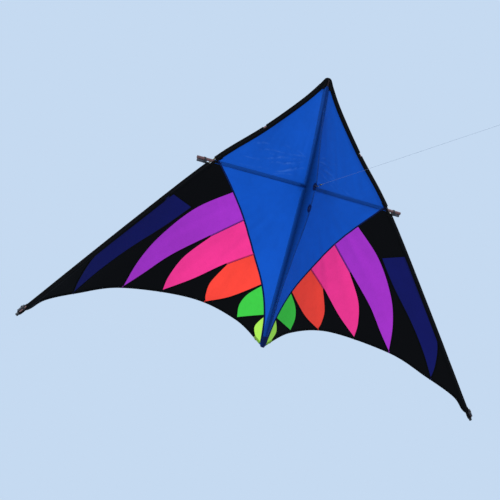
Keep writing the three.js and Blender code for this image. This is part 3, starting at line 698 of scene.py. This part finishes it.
def add_panels(side):
    """The cloth of each panel. It stands for the CAD panel of the same name."""
    points = place(flat, sail_y(flat[:, 0], flat[:, 1], side), side)
    for name, colour in COLOUR_OF.items():
        mine = triangles[region == name]
        used, faces = np.unique(mine, return_inverse=True)
        faces = faces.reshape(mine.shape)[:, ::side]
        # The mask of the painted crease highlight: strongest on the crests of the listed creases.
        crease_glint = np.clip(creases(flat[used, 0], flat[used, 1], side) / CREASE_DEPTH - 0.25, 0, 1.6) / 1.6
        obj = add_mesh(f"{SIDE[side]}_{name}_cloth", points[used], faces, [panel_material[colour]], crease_glint=crease_glint)
        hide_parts(f"{SIDE[side]}_{name}")
        corners = points[mine]
        across = np.cross(corners[:, 1] - corners[:, 0], corners[:, 2] - corners[:, 0])
        area = np.linalg.norm(across, axis=1).sum() / 2
        short, long = (d * MM for d in smallest_box(flat[used]))
        short = float(np.clip(short, 1.02 * area / long, area / (0.31 * long)))
        hang_on_wing(obj, side)


SEAM_HALF, SEAM_THICK = 3.2, 0.45


def sideways(line):
    """The direction to the left of a flat line at each of its points."""
    along = np.gradient(line, axis=0)
    along /= np.linalg.norm(along, axis=1, keepdims=True)
    return np.stack([-along[:, 1], along[:, 0]], axis=1)


def ribbon(line, half, thick, side, lift=0.0):
    """A flat band along a line on the sail: points, faces and UVs (distance along, -1 to 1 across)."""
    line = np.asarray(line, float)
    across, distance = sideways(line), lengths(line) * MM
    points, uvs = [], []
    for sign, depth in ((-1, -thick), (1, -thick), (1, thick), (-1, thick)):
        flat_points = line + across * sign * half
        flat_points[:, 0] = np.maximum(flat_points[:, 0], 0)
        y = sail_y(flat_points[:, 0], flat_points[:, 1], side) + depth + lift
        points.append(place(flat_points, y, side))
        uvs.append(np.stack([distance, np.full(len(line), float(sign))], axis=1))
    n = len(line)
    faces = [(a * n + i, b * n + i, b * n + i + 1, a * n + i + 1)
             for a, b in ((0, 1), (1, 2), (2, 3), (3, 0)) for i in range(n - 1)]
    faces += [(3 * n, 2 * n, n, 0), (n - 1, 2 * n - 1, 3 * n - 1, 4 * n - 1)]
    return np.concatenate(points), [f[::side] for f in faces], np.concatenate(uvs)


def add_ribbons(name, bands, side):
    """One object from several ribbons, each with its material."""
    points, faces, uvs, materials, index = [], [], [], [], []
    for (p, f, uv), material in bands:
        base = sum(len(q) for q in points)
        points.append(p)
        uvs.append(uv)
        faces += [tuple(base + i for i in face) for face in f]
        if material not in materials:
            materials.append(material)
        index += [materials.index(material)] * len(f)
    obj = add_mesh(name, np.concatenate(points), faces, materials, index, np.concatenate(uvs))
    hang_on_wing(obj, side)


def colour_at(point):
    """The colour of the panel at a point of the flat wing."""
    for name, outline in OUTLINES.items():
        if inside(np.array([point]), outline)[0]:
            return COLOUR_OF[name]
    return "black"


def add_seams(side):
    """Sewn seams: edging round the centre, and black where a feather borders the black cloth."""
    for name, knots in SEAMS.items():
        colour = name.split("_")[0]
        if name == "blue":
            parts = [(0, 6, edging)]
        elif name in ("purple_ray", "pink_ray"):
            parts = [(0, 1, seam_material[colour]), (1, len(knots) - 1, seam_material["black"])]
        else:
            parts = [(0, len(knots) - 1, seam_material["black"])]
        bands = []
        for begin, end, material in parts:
            line = run(knots, begin, end)
            line = line[inside(line, wing_outline)]
            bands.append((ribbon(line, SEAM_HALF, SEAM_THICK, side), material))
        add_ribbons(f"{SIDE[side]}_seam_{name}", bands, side)


# The cross spar's painted shadow: its half width, where it starts from the spine and how far it stands forward by
# the spine.
SPAR_SHADOW_HALF, SPAR_SHADOW_START, SPAR_SHADOW_LIFT = 7.5, 6, 1.6
BAND_THICK = 0.5


def add_spar_shadow(side):
    """A dark band along the cross spar, where the cloth lies on it: a painted shadow of the spar behind the cloth.
    It ends in front of the spine's tape.
    """
    reach = np.linspace(SPAR_SHADOW_START, RIDGE_REACH - 4, 82)
    line = np.stack([reach, np.full(len(reach), -0.5)], axis=1)
    lift = -SPAR_SHADOW_LIFT * np.clip((40 - reach) / 18, 0, 1)
    band = ribbon(line, SPAR_SHADOW_HALF, BAND_THICK, side, lift)
    add_ribbons(f"{SIDE[side]}_spar_shadow", [(band, spar_shadow)], side)


HEM_WIDTH = 9.0


def add_hem(side):
    """The rolled hem of the trailing edge, in the colour of the panel it belongs to."""
    line = run(TRAILING, step=5.0)[1:-1]
    inner = line + sideways(line) * HEM_WIDTH / 2
    colours = [colour_at(p) for p in inner]
    bands, begin = [], 0
    for i in range(1, len(line)):
        if i == len(line) - 1 or colours[i] != colours[begin]:
            part = inner[begin:i + 1]
            if len(part) > 1:
                band = ribbon(part, HEM_WIDTH / 2, BAND_THICK, side)
                bands.append((band, seam_material[colours[begin]]))
            begin = i
    add_ribbons(f"{SIDE[side]}_trailing_hem", bands, side)


# Section of the sleeve as (distance from the leading edge into the sail, depth behind the leading edge).
SLEEVE_PROFILE = [
    (21.0, -0.9), (17.0, -1.1), (12.5, -1.0), (8.4, -0.7), (4.6, -0.4), (1.4, 0.7), (-0.5, 2.9), (-1.0, 5.5),
    (-0.5, 8.3), (1.6, 10.8), (5.2, 11.9), (8.8, 10.8), (11.6, 7.6), (14.2, 3.8), (17.0, 1.7), (21.0, 1.1),
]


def add_sleeve(side, name, begin, end, notch=()):
    """The sleeve's cloth, folded round the spar, with its two hems on either side of the sail. The notch is a
    window over the spar."""
    marks = np.sort(np.append(np.linspace(begin, end, max(int((end - begin) / 7), 2)), notch))
    n = len(SLEEVE_PROFILE)

    def spot(k, j):
        mark, (inset, depth) = marks[k], SLEEVE_PROFILE[j]
        slack = 0.45 * noise.noise(Vector((mark / 46, side * 3.0, 0.4))) * math.sin(math.pi * j / (n - 1))
        slack += 0.25 * noise.noise(Vector((mark / 30, j * 0.5, side * 5.0)))
        x, z = edge_point(mark, inset)
        on_sail = max(inset - 12, 0) / 9
        y = LEADING_EDGE_Y + depth + slack + on_sail * (float(form_y(x, z)) - LEADING_EDGE_Y)
        return at(side * x, y, z), (mark * MM, share(j, n))

    def in_notch(quad):
        k, j = divmod(min(quad), n)
        middle = (marks[k] + marks[k + 1]) / 2
        over_spar = max(SLEEVE_PROFILE[j][0], SLEEVE_PROFILE[j + 1][0]) < 9
        return notch and notch[0] < middle < notch[1] and over_spar

    points, uvs = zip(*[spot(k, j) for k in range(len(marks)) for j in range(n)])
    faces = [quad for quad in grid_faces(len(marks), n, side > 0) if not in_notch(quad)]
    obj = add_mesh(f"{SIDE[side]}_sleeve_{name}_cloth", points, faces, [sleeve_material], uvs=uvs)
    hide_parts(f"{SIDE[side]}_le_sleeve_{name}")
    hang_on_wing(obj, side)


def add_sleeves(side):
    nose = edge_length_at(NOSE_Z - 22, SPAR_INSET)
    add_sleeve(side, "upper", nose, CROSSING - CONNECTOR_GAP_ABOVE + 12, (STOPPER_AT - 9, STOPPER_AT + 9))
    add_sleeve(side, "lower", CROSSING + CONNECTOR_GAP_BELOW, SLEEVE_END + 5)


# ---- sewn fittings of a wing ----

NOSE_TIP_Z, NOSE_CAP_END_Z, NOSE_CAP_FRONT, NOSE_CAP_BACK = 466, 416, -2.4, 12.8
NOSE_ROUND, NOSE_SLOPE = 6.0, 0.62


def nose_half_width(z):
    """Half the cap's width: the leading edge's line and a little more, with a rounded corner at the top."""
    line = float(np.interp(-z, -edge_fine[:, 1], edge_fine[:, 0])) if z < EDGE[0][1] else EDGE[0][0] * 0.95
    drop = min((NOSE_TIP_Z - z) / NOSE_ROUND, 1)
    return 1.0 + line - NOSE_ROUND * NOSE_SLOPE * (1 - math.sqrt(1 - (1 - drop) ** 2)) * 1.6


NOSE_CAP_THICK, NOSE_CAP_FLAT, NOSE_CAP_AREA = 0.7, (0.05, 0.09), 0.0036


def add_nose_cap(side):
    """Half of the doubled cloth cap over the spine's top and both sleeves, folded round the leading edge."""
    rows, columns = 30, 22
    middle, half = (NOSE_CAP_FRONT + NOSE_CAP_BACK) / 2, (NOSE_CAP_BACK - NOSE_CAP_FRONT) / 2

    def spot(r, c):
        s, t = (r / (rows - 1)) ** 1.3, c / (columns - 1)
        z = NOSE_TIP_Z + (NOSE_CAP_END_Z - NOSE_TIP_Z) * s
        width = nose_half_width(z)
        turn = math.pi * np.clip((t - 0.38) / 0.24, 0, 1)
        flat_part = min(min(t, 1 - t) / 0.38, 1)
        round_r = min(half * 0.5, width * 0.5)
        x = (width - round_r) * flat_part + round_r * math.sin(turn)
        crease = 0.35 * noise.noise(Vector((x / 9, z / 12, side * 2.0 + t)))
        depth = half * (0.42 + 0.58 * min(s / 0.12, 1) ** 0.6)
        y = LEADING_EDGE_Y + middle - depth * math.cos(turn) + crease
        return at(side * x, y, z - 9 * (x / 50) ** 2), (s * 0.05, -1 + 2 * t)

    obj = add_grid(f"{SIDE[side]}_nose_cap", rows, columns, spot, sleeve_material, NOSE_CAP_THICK, side < 0)
    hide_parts("nose_patch")
    hang_on_wing(obj, side)


TIP_WRAP_R, TIP_WRAP_THICK, WRAP_SLOT, SLOT_TURN = 9.4, 0.9, math.radians(84), math.radians(48)


def tip_axis():
    """Start, end, direction and outer side of the wing-tip tube's axis on the right wing, in mm."""
    ends = [edge_point(length, SPAR_INSET) for length in (SLEEVE_END - 4, EDGE_LENGTH - TIP_CAP_LENGTH + 2)]
    start, end = (np.array([x, LEADING_EDGE_Y + ROD_BACK, z]) for x, z in ends)
    along = (end - start) / np.linalg.norm(end - start)
    out = np.cross(along, FRONT)
    return start, end, along, out * np.sign(out[0])


def add_tip_wrap(side):
    """Elastic webbing from the sleeve's end round the tip tube, open in a slot on its outer front."""
    start, end, _, out = tip_axis()
    rows, columns = 22, 26

    def spot(r, c):
        s = r / (rows - 1)
        radius = TIP_WRAP_R * (0.86 + 0.14 * min(s / 0.25, 1)) * (1 - 0.12 * max(s - 0.8, 0) / 0.2)
        slot = np.clip((s - 0.16) / 0.12, 0, 1) ** 0.5 * np.clip((0.93 - s) / 0.08, 0, 1) ** 0.5 * WRAP_SLOT
        angle = SLOT_TURN + slot / 2 + (2 * math.pi - slot) * c / (columns - 1)
        radius *= 1 + 0.05 * noise.noise(Vector((s * 7, angle * 1.3, side)))
        x, y, z = start + (end - start) * s + radius * (math.cos(angle) * FRONT + math.sin(angle) * out)
        return at(side * x, y, z), (s * 0.05, share(c, columns))

    obj = add_grid(f"{SIDE[side]}_tip_wrap", rows, columns, spot, sleeve_material, TIP_WRAP_THICK, side > 0)
    settle(obj, f"{SIDE[side]}_wing")


def add_tube(name, side, start, end, radius, squash, mouth, seed, material, thickness):
    """A soft tube between two points in mm, a little flattened, with a rolled mouth at its end."""
    rows, columns = 10, 20
    start, end = np.array(start, float), np.array(end, float)
    across = np.cross((end - start) / np.linalg.norm(end - start), FRONT)

    def spot(r, c):
        s, angle = r / (rows - 1), 2 * math.pi * c / columns
        wide = radius * (1 + mouth * max(s - 0.85, 0) / 0.15)
        wide *= 1 + 0.04 * noise.noise(Vector((s * 4, angle, seed)))
        x, y, z = start + (end - start) * s + wide * (
            squash * math.cos(angle) * FRONT + math.sin(angle) * across)
        return at(side * x, y, z), (s, c / columns)

    obj = add_grid(f"{SIDE[side]}_{name}", rows, columns, spot, material, thickness, side > 0, closed=True)
    settle(obj, f"{SIDE[side]}_wing")


TIP_FOLD_R, TIP_BAND_R, TIP_FOLD_SHIFT, TIP_VINYL_THICK = 3.8, 11.4, 10.4, 1.3


def add_tip_fold(side):
    """The tip tube's end, folded back beside it, and the band that binds the two."""
    start, end, along, out = tip_axis()
    beside = TIP_FOLD_SHIFT * (0.97 * out + 0.24 * FRONT)
    add_tube("tip_fold", side, start + along * 12 + beside, end - along * 3 + beside,
             TIP_FOLD_R, 0.92, 0.08, side * 3.1, dark_vinyl, TIP_VINYL_THICK)
    add_tube("tip_band", side, start + along * 20 + beside * 0.42, start + along * 27 + beside * 0.42,
             TIP_BAND_R, 0.82, 0.08, side * 3.1, black_vinyl, TIP_VINYL_THICK)


def add_corner_patch(side):
    """Black reinforcement where the sleeve opens for the cross spar's connector, and at the sleeve ends."""
    above, below = CROSSING - CONNECTOR_GAP_ABOVE, CROSSING + CONNECTOR_GAP_BELOW
    bands = []
    for begin, end, marks, inset, half, thick in (
        (above - 16, above + 3, 6, 15.0, 8.0, 1.5), (below - 3, below + 16, 6, 15.0, 8.0, 1.5),
        (above - 2, below + 2, 12, 17.5, 3.4, 0.9),
    ):
        line = np.array([edge_point(mark, inset) for mark in np.linspace(begin, end, marks)])
        bands.append((ribbon(line, half, thick, side), sleeve_material))
    add_ribbons(f"{SIDE[side]}_corner_patch", bands, side)


SPAR_SLOPE, CONNECTOR_VINYL_THICK = 0.099, 1.6


def add_connector_tails(side):
    """The vinyl tube's folded end beside the connector, and the band that binds the two."""
    for name, begin, end, drop, back, radius, squash, material in (
        ("connector_lower", 444, 484, 11.0, 1.0, 5.2, 0.9, dark_vinyl),
        ("connector_band", 449, 457, 4.6, 0.6, 12.2, 0.66, black_vinyl),
    ):
        start, end = ((x, ROD_BACK + SPAR_SLOPE * x + back, -drop) for x in (begin, end))
        add_tube(name, side, start, end, radius, squash, 0.06, side * 2.0, material, CONNECTOR_VINYL_THICK)


for wing in SIDE:
    for add_part in (add_connector_tails, add_panels, add_seams, add_spar_shadow, add_hem, add_sleeves, add_nose_cap,
                     add_tip_wrap, add_tip_fold, add_corner_patch):
        add_part(wing)

# ---- keel ----


def keel_front(z):
    """How far the keel's front edge stands towards the flyer, in y, at a height."""
    low, high = TOW_Z - SPARE_EYELET_DROP - 14, TOW_Z + 10
    z = np.asarray(z, float)
    down = np.interp(z, [KEEL_BOTTOM_Z, low], [float(spine_y(KEEL_BOTTOM_Z)) - 4, -KEEL_DEPTH])
    up = np.interp(z, [high, KEEL_TOP_Z], [-KEEL_DEPTH, float(spine_y(KEEL_TOP_Z)) - 4])
    return np.where(z < low, down, np.where(z > high, up, -KEEL_DEPTH))


def keel_side(z, t):
    """How far the cloth bellies sideways, t of the way from the spine to the front edge."""
    belly = 2.5 * t * math.sin(math.pi * np.clip((KEEL_TOP_Z - z) / (KEEL_TOP_Z - KEEL_BOTTOM_Z), 0, 1))
    return belly * noise.noise(Vector((z / 90, t * 1.5, 4.2)))


def add_keel():
    rows, columns = 150, 14
    heights, depths = np.linspace(KEEL_TOP_Z, KEEL_BOTTOM_Z, rows), np.linspace(0, 1, columns)

    def spot(r, c):
        z, t = heights[r], depths[c]
        back = float(spine_y(z)) - 0.2
        return at(keel_side(z, t), back + (float(keel_front(z)) - back) * t, z), (z * MM, -1 + 2 * t)

    obj = add_grid("keel_cloth", rows, columns, spot, keel_cloth)
    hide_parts("keel")
    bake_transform(obj)


add_keel()

# ---- spine tape with its painted shadow, spine pockets and keel fittings ----

HUB_GAP = 14
TAPE_HEIGHTS = [TAIL_Z, -500, -420, -60, -20, 20, 200, NOSE_Z]
TAPE_HALVES = [7.0, 12.0, 16.0, 18.0, 17.0, 14.0, 12.0, 9.0]
TAPE_THICK = 0.6


def add_spine_tape_and_shadow():
    """The tape over the spine's seam, dark and soft-edged: partly real tape, partly painted shadow of the spine.
    """
    rows, columns = 190, 7
    heights = np.linspace(NOSE_Z - 20, TAIL_Z + 6, rows)

    def spot(r, c):
        z, u = heights[r], share(c, columns)
        x = float(np.interp(z, TAPE_HEIGHTS, TAPE_HALVES)) * u
        y = float(form_y(abs(x), z)) - 0.9 - 0.25 * noise.noise(Vector((x / 5, z / 40, 1.5)))
        return at(x, y, z), (z * MM, u)

    obj = add_grid("spine_seam_tape_and_shadow", rows, columns, spot, spine_tape_and_shadow, TAPE_THICK, True)
    settle(obj, "frame")


# Section of the pocket as (x, y behind the sail): a hem on the sail, round over the rod, and the other hem.
POCKET_PROFILE = [
    (-14.0, 1.4), (-10.5, 1.6), (-7.6, 3.4), (-5.9, 6.4), (-3.9, 9.4), (0.0, 10.9), (3.9, 9.4), (5.9, 6.4),
    (7.6, 3.4), (10.5, 1.6), (14.0, 1.4),
]
POCKET_CLOTH_WIDTH, POCKET_THICK = 0.038, 0.5


def add_pocket(name, top, bottom):
    rows, columns = max(int((top - bottom) / 8), 3), len(POCKET_PROFILE)
    heights = np.linspace(top, bottom, rows)

    def spot(r, c):
        z, (x, back) = heights[r], POCKET_PROFILE[c]
        slack = 0.5 * noise.noise(Vector((x / 5, z / 26, 7.1)))
        return at(x, float(form_y(abs(x), z)) + back + slack * (back > 2), z), (z * MM, share(c, columns))

    obj = add_grid(f"{name}_cloth", rows, columns, spot, pocket_cloth, POCKET_THICK)
    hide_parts(name)
    settle(obj, "frame")


EYELET_R, PATCH_R, PATCH_THICK = 5.2, 17, 0.5


def add_keel_patch(label, middle):
    """A round doubling on each face of the keel, sewn round the eyelet at a height."""
    rings, sectors = 6, 28
    for face, name in SIDE.items():
        def spot(r, c):
            reach, angle = EYELET_R + (PATCH_R - EYELET_R) * r / (rings - 1), 2 * math.pi * c / sectors
            y = max(TOW_Y + reach * math.cos(angle), -KEEL_DEPTH + 0.3)
            x = face * (1.5 if r < rings - 1 else 1.0)
            return at(x, y, middle + reach * math.sin(angle)), (c * 0.002, share(r, rings))

        obj = add_grid(f"keel_patch_{name}_{label}", rings, sectors, spot, edging, PATCH_THICK, face < 0,
                       closed=True)
        settle(obj, "keel")


WEBBING_TOP_Z, WEBBING_LENGTH, WEBBING_HALF, WEBBING_THICK = 458, 32, 3.2, 1.2


def add_front_webbing():
    """The short webbing sewn over the nose cap, which the spine's top pushes against."""
    rows, columns = 12, 5

    def spot(r, c):
        s, u = r / (rows - 1), share(c, columns)
        z, bulge = WEBBING_TOP_Z - WEBBING_LENGTH * s, 0.8 * math.sin(math.pi * s)
        return at(WEBBING_HALF * u, LEADING_EDGE_Y + NOSE_CAP_FRONT - 1.0 - bulge, z), (z * MM, u)

    obj = add_grid("nose_webbing", rows, columns, spot, webbing, WEBBING_THICK, True)
    settle(obj, "frame")


KEEL_HEM_DEPTH, KEEL_HEM_STEP, KEEL_HEM_THICK, TOW_GAP = 7.0, 5.0, 0.4, 19
# Section of the binding as (depth, x).
KEEL_HEM_SECTION = [
    (1.0, -0.85), (0.55, -0.9), (0.06, -0.8), (-0.08, 0.0), (0.06, 0.8), (0.55, 0.9), (1.0, 0.85),
]


def add_keel_hem(label, top, bottom):
    """The binding folded over the keel's front edge."""
    heights = np.linspace(top, bottom, 500)
    line = evenly(np.array([(float(keel_front(z)), z) for z in heights]), KEEL_HEM_STEP)
    inwards = sideways(line)
    inwards *= np.sign(inwards[:, :1])
    rows, columns = len(line), len(KEEL_HEM_SECTION)

    def spot(r, c):
        (y, z), (depth, x) = line[r], KEEL_HEM_SECTION[c]
        dy, dz = inwards[r] * depth * KEEL_HEM_DEPTH
        y = min(y + dy, float(spine_y(z)) - 1.0)
        return at(x + keel_side(z, 1.0), y, z + dz), (r * KEEL_HEM_STEP * MM, share(c, columns))

    obj = add_grid(f"keel_hem_{label}", rows, columns, spot, keel_binding, KEEL_HEM_THICK, True)
    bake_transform(obj)


TAIL_PATCH_ABOVE, TAIL_PATCH_LENGTH, TAIL_PATCH_THICK = 40, 46, 0.7
TAIL_PATCH_FRONT, TAIL_PATCH_BACK = -1.7, 12.4


def add_tail_patch():
    """The doubled cloth over the tail, which holds the spine's foot: one layer before the sail, one behind."""
    rows, columns = 16, 11

    def spot(row, c):
        back, r = row >= rows, row % rows
        s, u = r / (rows - 1), share(c, columns)
        z = TAIL_Z + TAIL_PATCH_ABOVE - TAIL_PATCH_LENGTH * s
        x = (5.0 + 9.0 * math.sqrt(max(1 - s ** 2, 0))) * u
        dome = TAIL_PATCH_BACK * (1 - 0.75 * u ** 2) if back else TAIL_PATCH_FRONT
        return at(x, float(form_y(abs(x), z)) + dome, z), ((z + 700) * MM, u)

    points, uvs = zip(*[spot(r, c) for r in range(2 * rows) for c in range(columns)])
    faces = grid_faces(rows, columns, True)
    faces += [tuple(rows * columns + i for i in f[::-1]) for f in faces]
    obj = add_mesh("tail_patch", points, faces, [edging], uvs=uvs)
    thicken(obj, TAIL_PATCH_THICK)
    settle(obj, "frame")


add_keel_hem("upper", KEEL_TOP_Z - 3, TOW_Z + TOW_GAP)
add_keel_hem("lower", TOW_Z - TOW_GAP, KEEL_BOTTOM_Z + 3)
add_tail_patch()
add_spine_tape_and_shadow()
add_pocket("spine_pocket_upper", NOSE_Z - 28, HUB_GAP)
add_pocket("spine_pocket_lower", -HUB_GAP, TAIL_Z + 24)
add_keel_patch("tow", TOW_Z)
add_keel_patch("spare", TOW_Z - SPARE_EYELET_DROP)
add_front_webbing()

# ---- flying line ----

LINE_END, STEPS_IN_TURN = LINE_START + LINE_LENGTH, 16


def add_line(name, points, radius):
    """A piece of the flying line through points, with a radius in mm."""
    data = bpy.data.curves.new(name, "CURVE")
    data.dimensions = "3D"
    data.bevel_depth, data.bevel_resolution, data.use_fill_caps = radius * MM, 3, True
    spline = data.splines.new("POLY")
    spline.points.add(len(points) - 1)
    for made, point in zip(spline.points, points):
        made.co = (*point, 1)
    data.materials.append(line_material)
    obj = add_object(name, data)
    settle(obj, "line")
    return obj


def add_knot(name, begin, length, turns, radius):
    """A wrapped knot: the line wound round itself."""
    side = Vector((1, 0, 0))
    up = (line_point(1) - line_point(0)).normalized().cross(side)
    steps = turns * STEPS_IN_TURN
    points = []
    for i in range(steps + 1):
        s, angle = i / steps, math.tau * i / STEPS_IN_TURN
        wide = radius * (0.75 + 0.25 * math.sin(math.pi * s)) * MM
        points.append(line_point(begin + length * s) + (math.cos(angle) * side + math.sin(angle) * up) * wide)
    return add_line(name, points, LINE_R * 0.9)


line_cord = add_line("flying_line_cord", [line_point(d) for d in np.linspace(LINE_START, LINE_END, 30)], LINE_R)
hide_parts("flying_line")
knots = [
    add_knot("line_start_knot", LINE_START + 0.8, 7, 9, 0.75),
    add_knot("line_end_knot", LINE_END - 8, 7.5, 10, 0.8),
]

# ---- finishes of the CAD nodes that stay ----


def both(*names):
    """Each name for both wings."""
    return [f"{wing}_{name}" for name in names for wing in SIDE.values()]


FINISHES = [
    (rod, ["spine", *both("le_spar", "cross_spar")]),
    (vinyl, both("le_spar_stopper", "tip_tube", "edge_connector")),
    (black_vinyl, [*both("tip_cap", "hub_arm"), "hub_cross", "tail_cap", "spare_eyelet"]),
    (steel, ["tow_ring", "snap_hook", "swivel_eye"]),
    (brass, ["tow_eyelet", "swivel_barrel"]),
    (line_material, ["line_end_loop"]),
]
SMOOTH_BELOW = math.radians(40)

for material, names in FINISHES:
    for name in names:
        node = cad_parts[name]
        node.data.materials.clear()
        node.data.materials.append(material)
        node.data.polygons.foreach_set("use_smooth", np.full(len(node.data.polygons), True))
        node.modifiers.new("edges", "EDGE_SPLIT").split_angle = SMOOTH_BELOW

# ---- floor, world and light ----

SKY = (0.56, 0.70, 0.88)
FLOOR_REACH, FLOOR_LEVEL = 60, -2.4
# Each sun's name, the direction it comes from, its strength and its spread in degrees.
SUNS = [("back", (0.78, 0.44, 0.62), 2.5, 10), ("front", (-0.70, -0.44, 0.54), 2.0, 12)]


def add_floor():
    """A pale floor whose colour makes it as bright as the backdrop behind it."""
    sunlight = sum(power * Vector(towards).normalized().z for _, towards, power, _ in SUNS) / math.pi
    nodes = Nodes("floor")
    shade = nodes.add("ShaderNodeBsdfDiffuse", {"Color": (*(c / (c + sunlight) for c in SKY), 1)})
    corners = [(-1, -1), (1, -1), (1, 1), (-1, 1)]
    data = bpy.data.meshes.new("floor")
    data.from_pydata([(x * FLOOR_REACH, y * FLOOR_REACH, FLOOR_LEVEL) for x, y in corners], [], [(0, 1, 2, 3)])
    data.materials.append(nodes.finish(shade.outputs[0]))
    add_object("floor", data)


def add_sun(name, direction, strength, spread):
    """A soft sun that shines from a direction."""
    data = bpy.data.lights.new(name, "SUN")
    data.energy, data.angle = strength, math.radians(spread)
    obj = add_object(name, data)
    obj.rotation_euler = Vector(direction).to_track_quat("Z", "Y").to_euler()


def add_world():
    world = bpy.data.worlds.new("studio")
    world.use_nodes = True
    background = world.node_tree.nodes["Background"]
    background.inputs["Color"].default_value = (*SKY, 1)
    background.inputs["Strength"].default_value = 1.0
    scene.world = world


add_floor()
add_world()
for sun in SUNS:
    add_sun(*sun)
scene.view_settings.view_transform = "Standard"
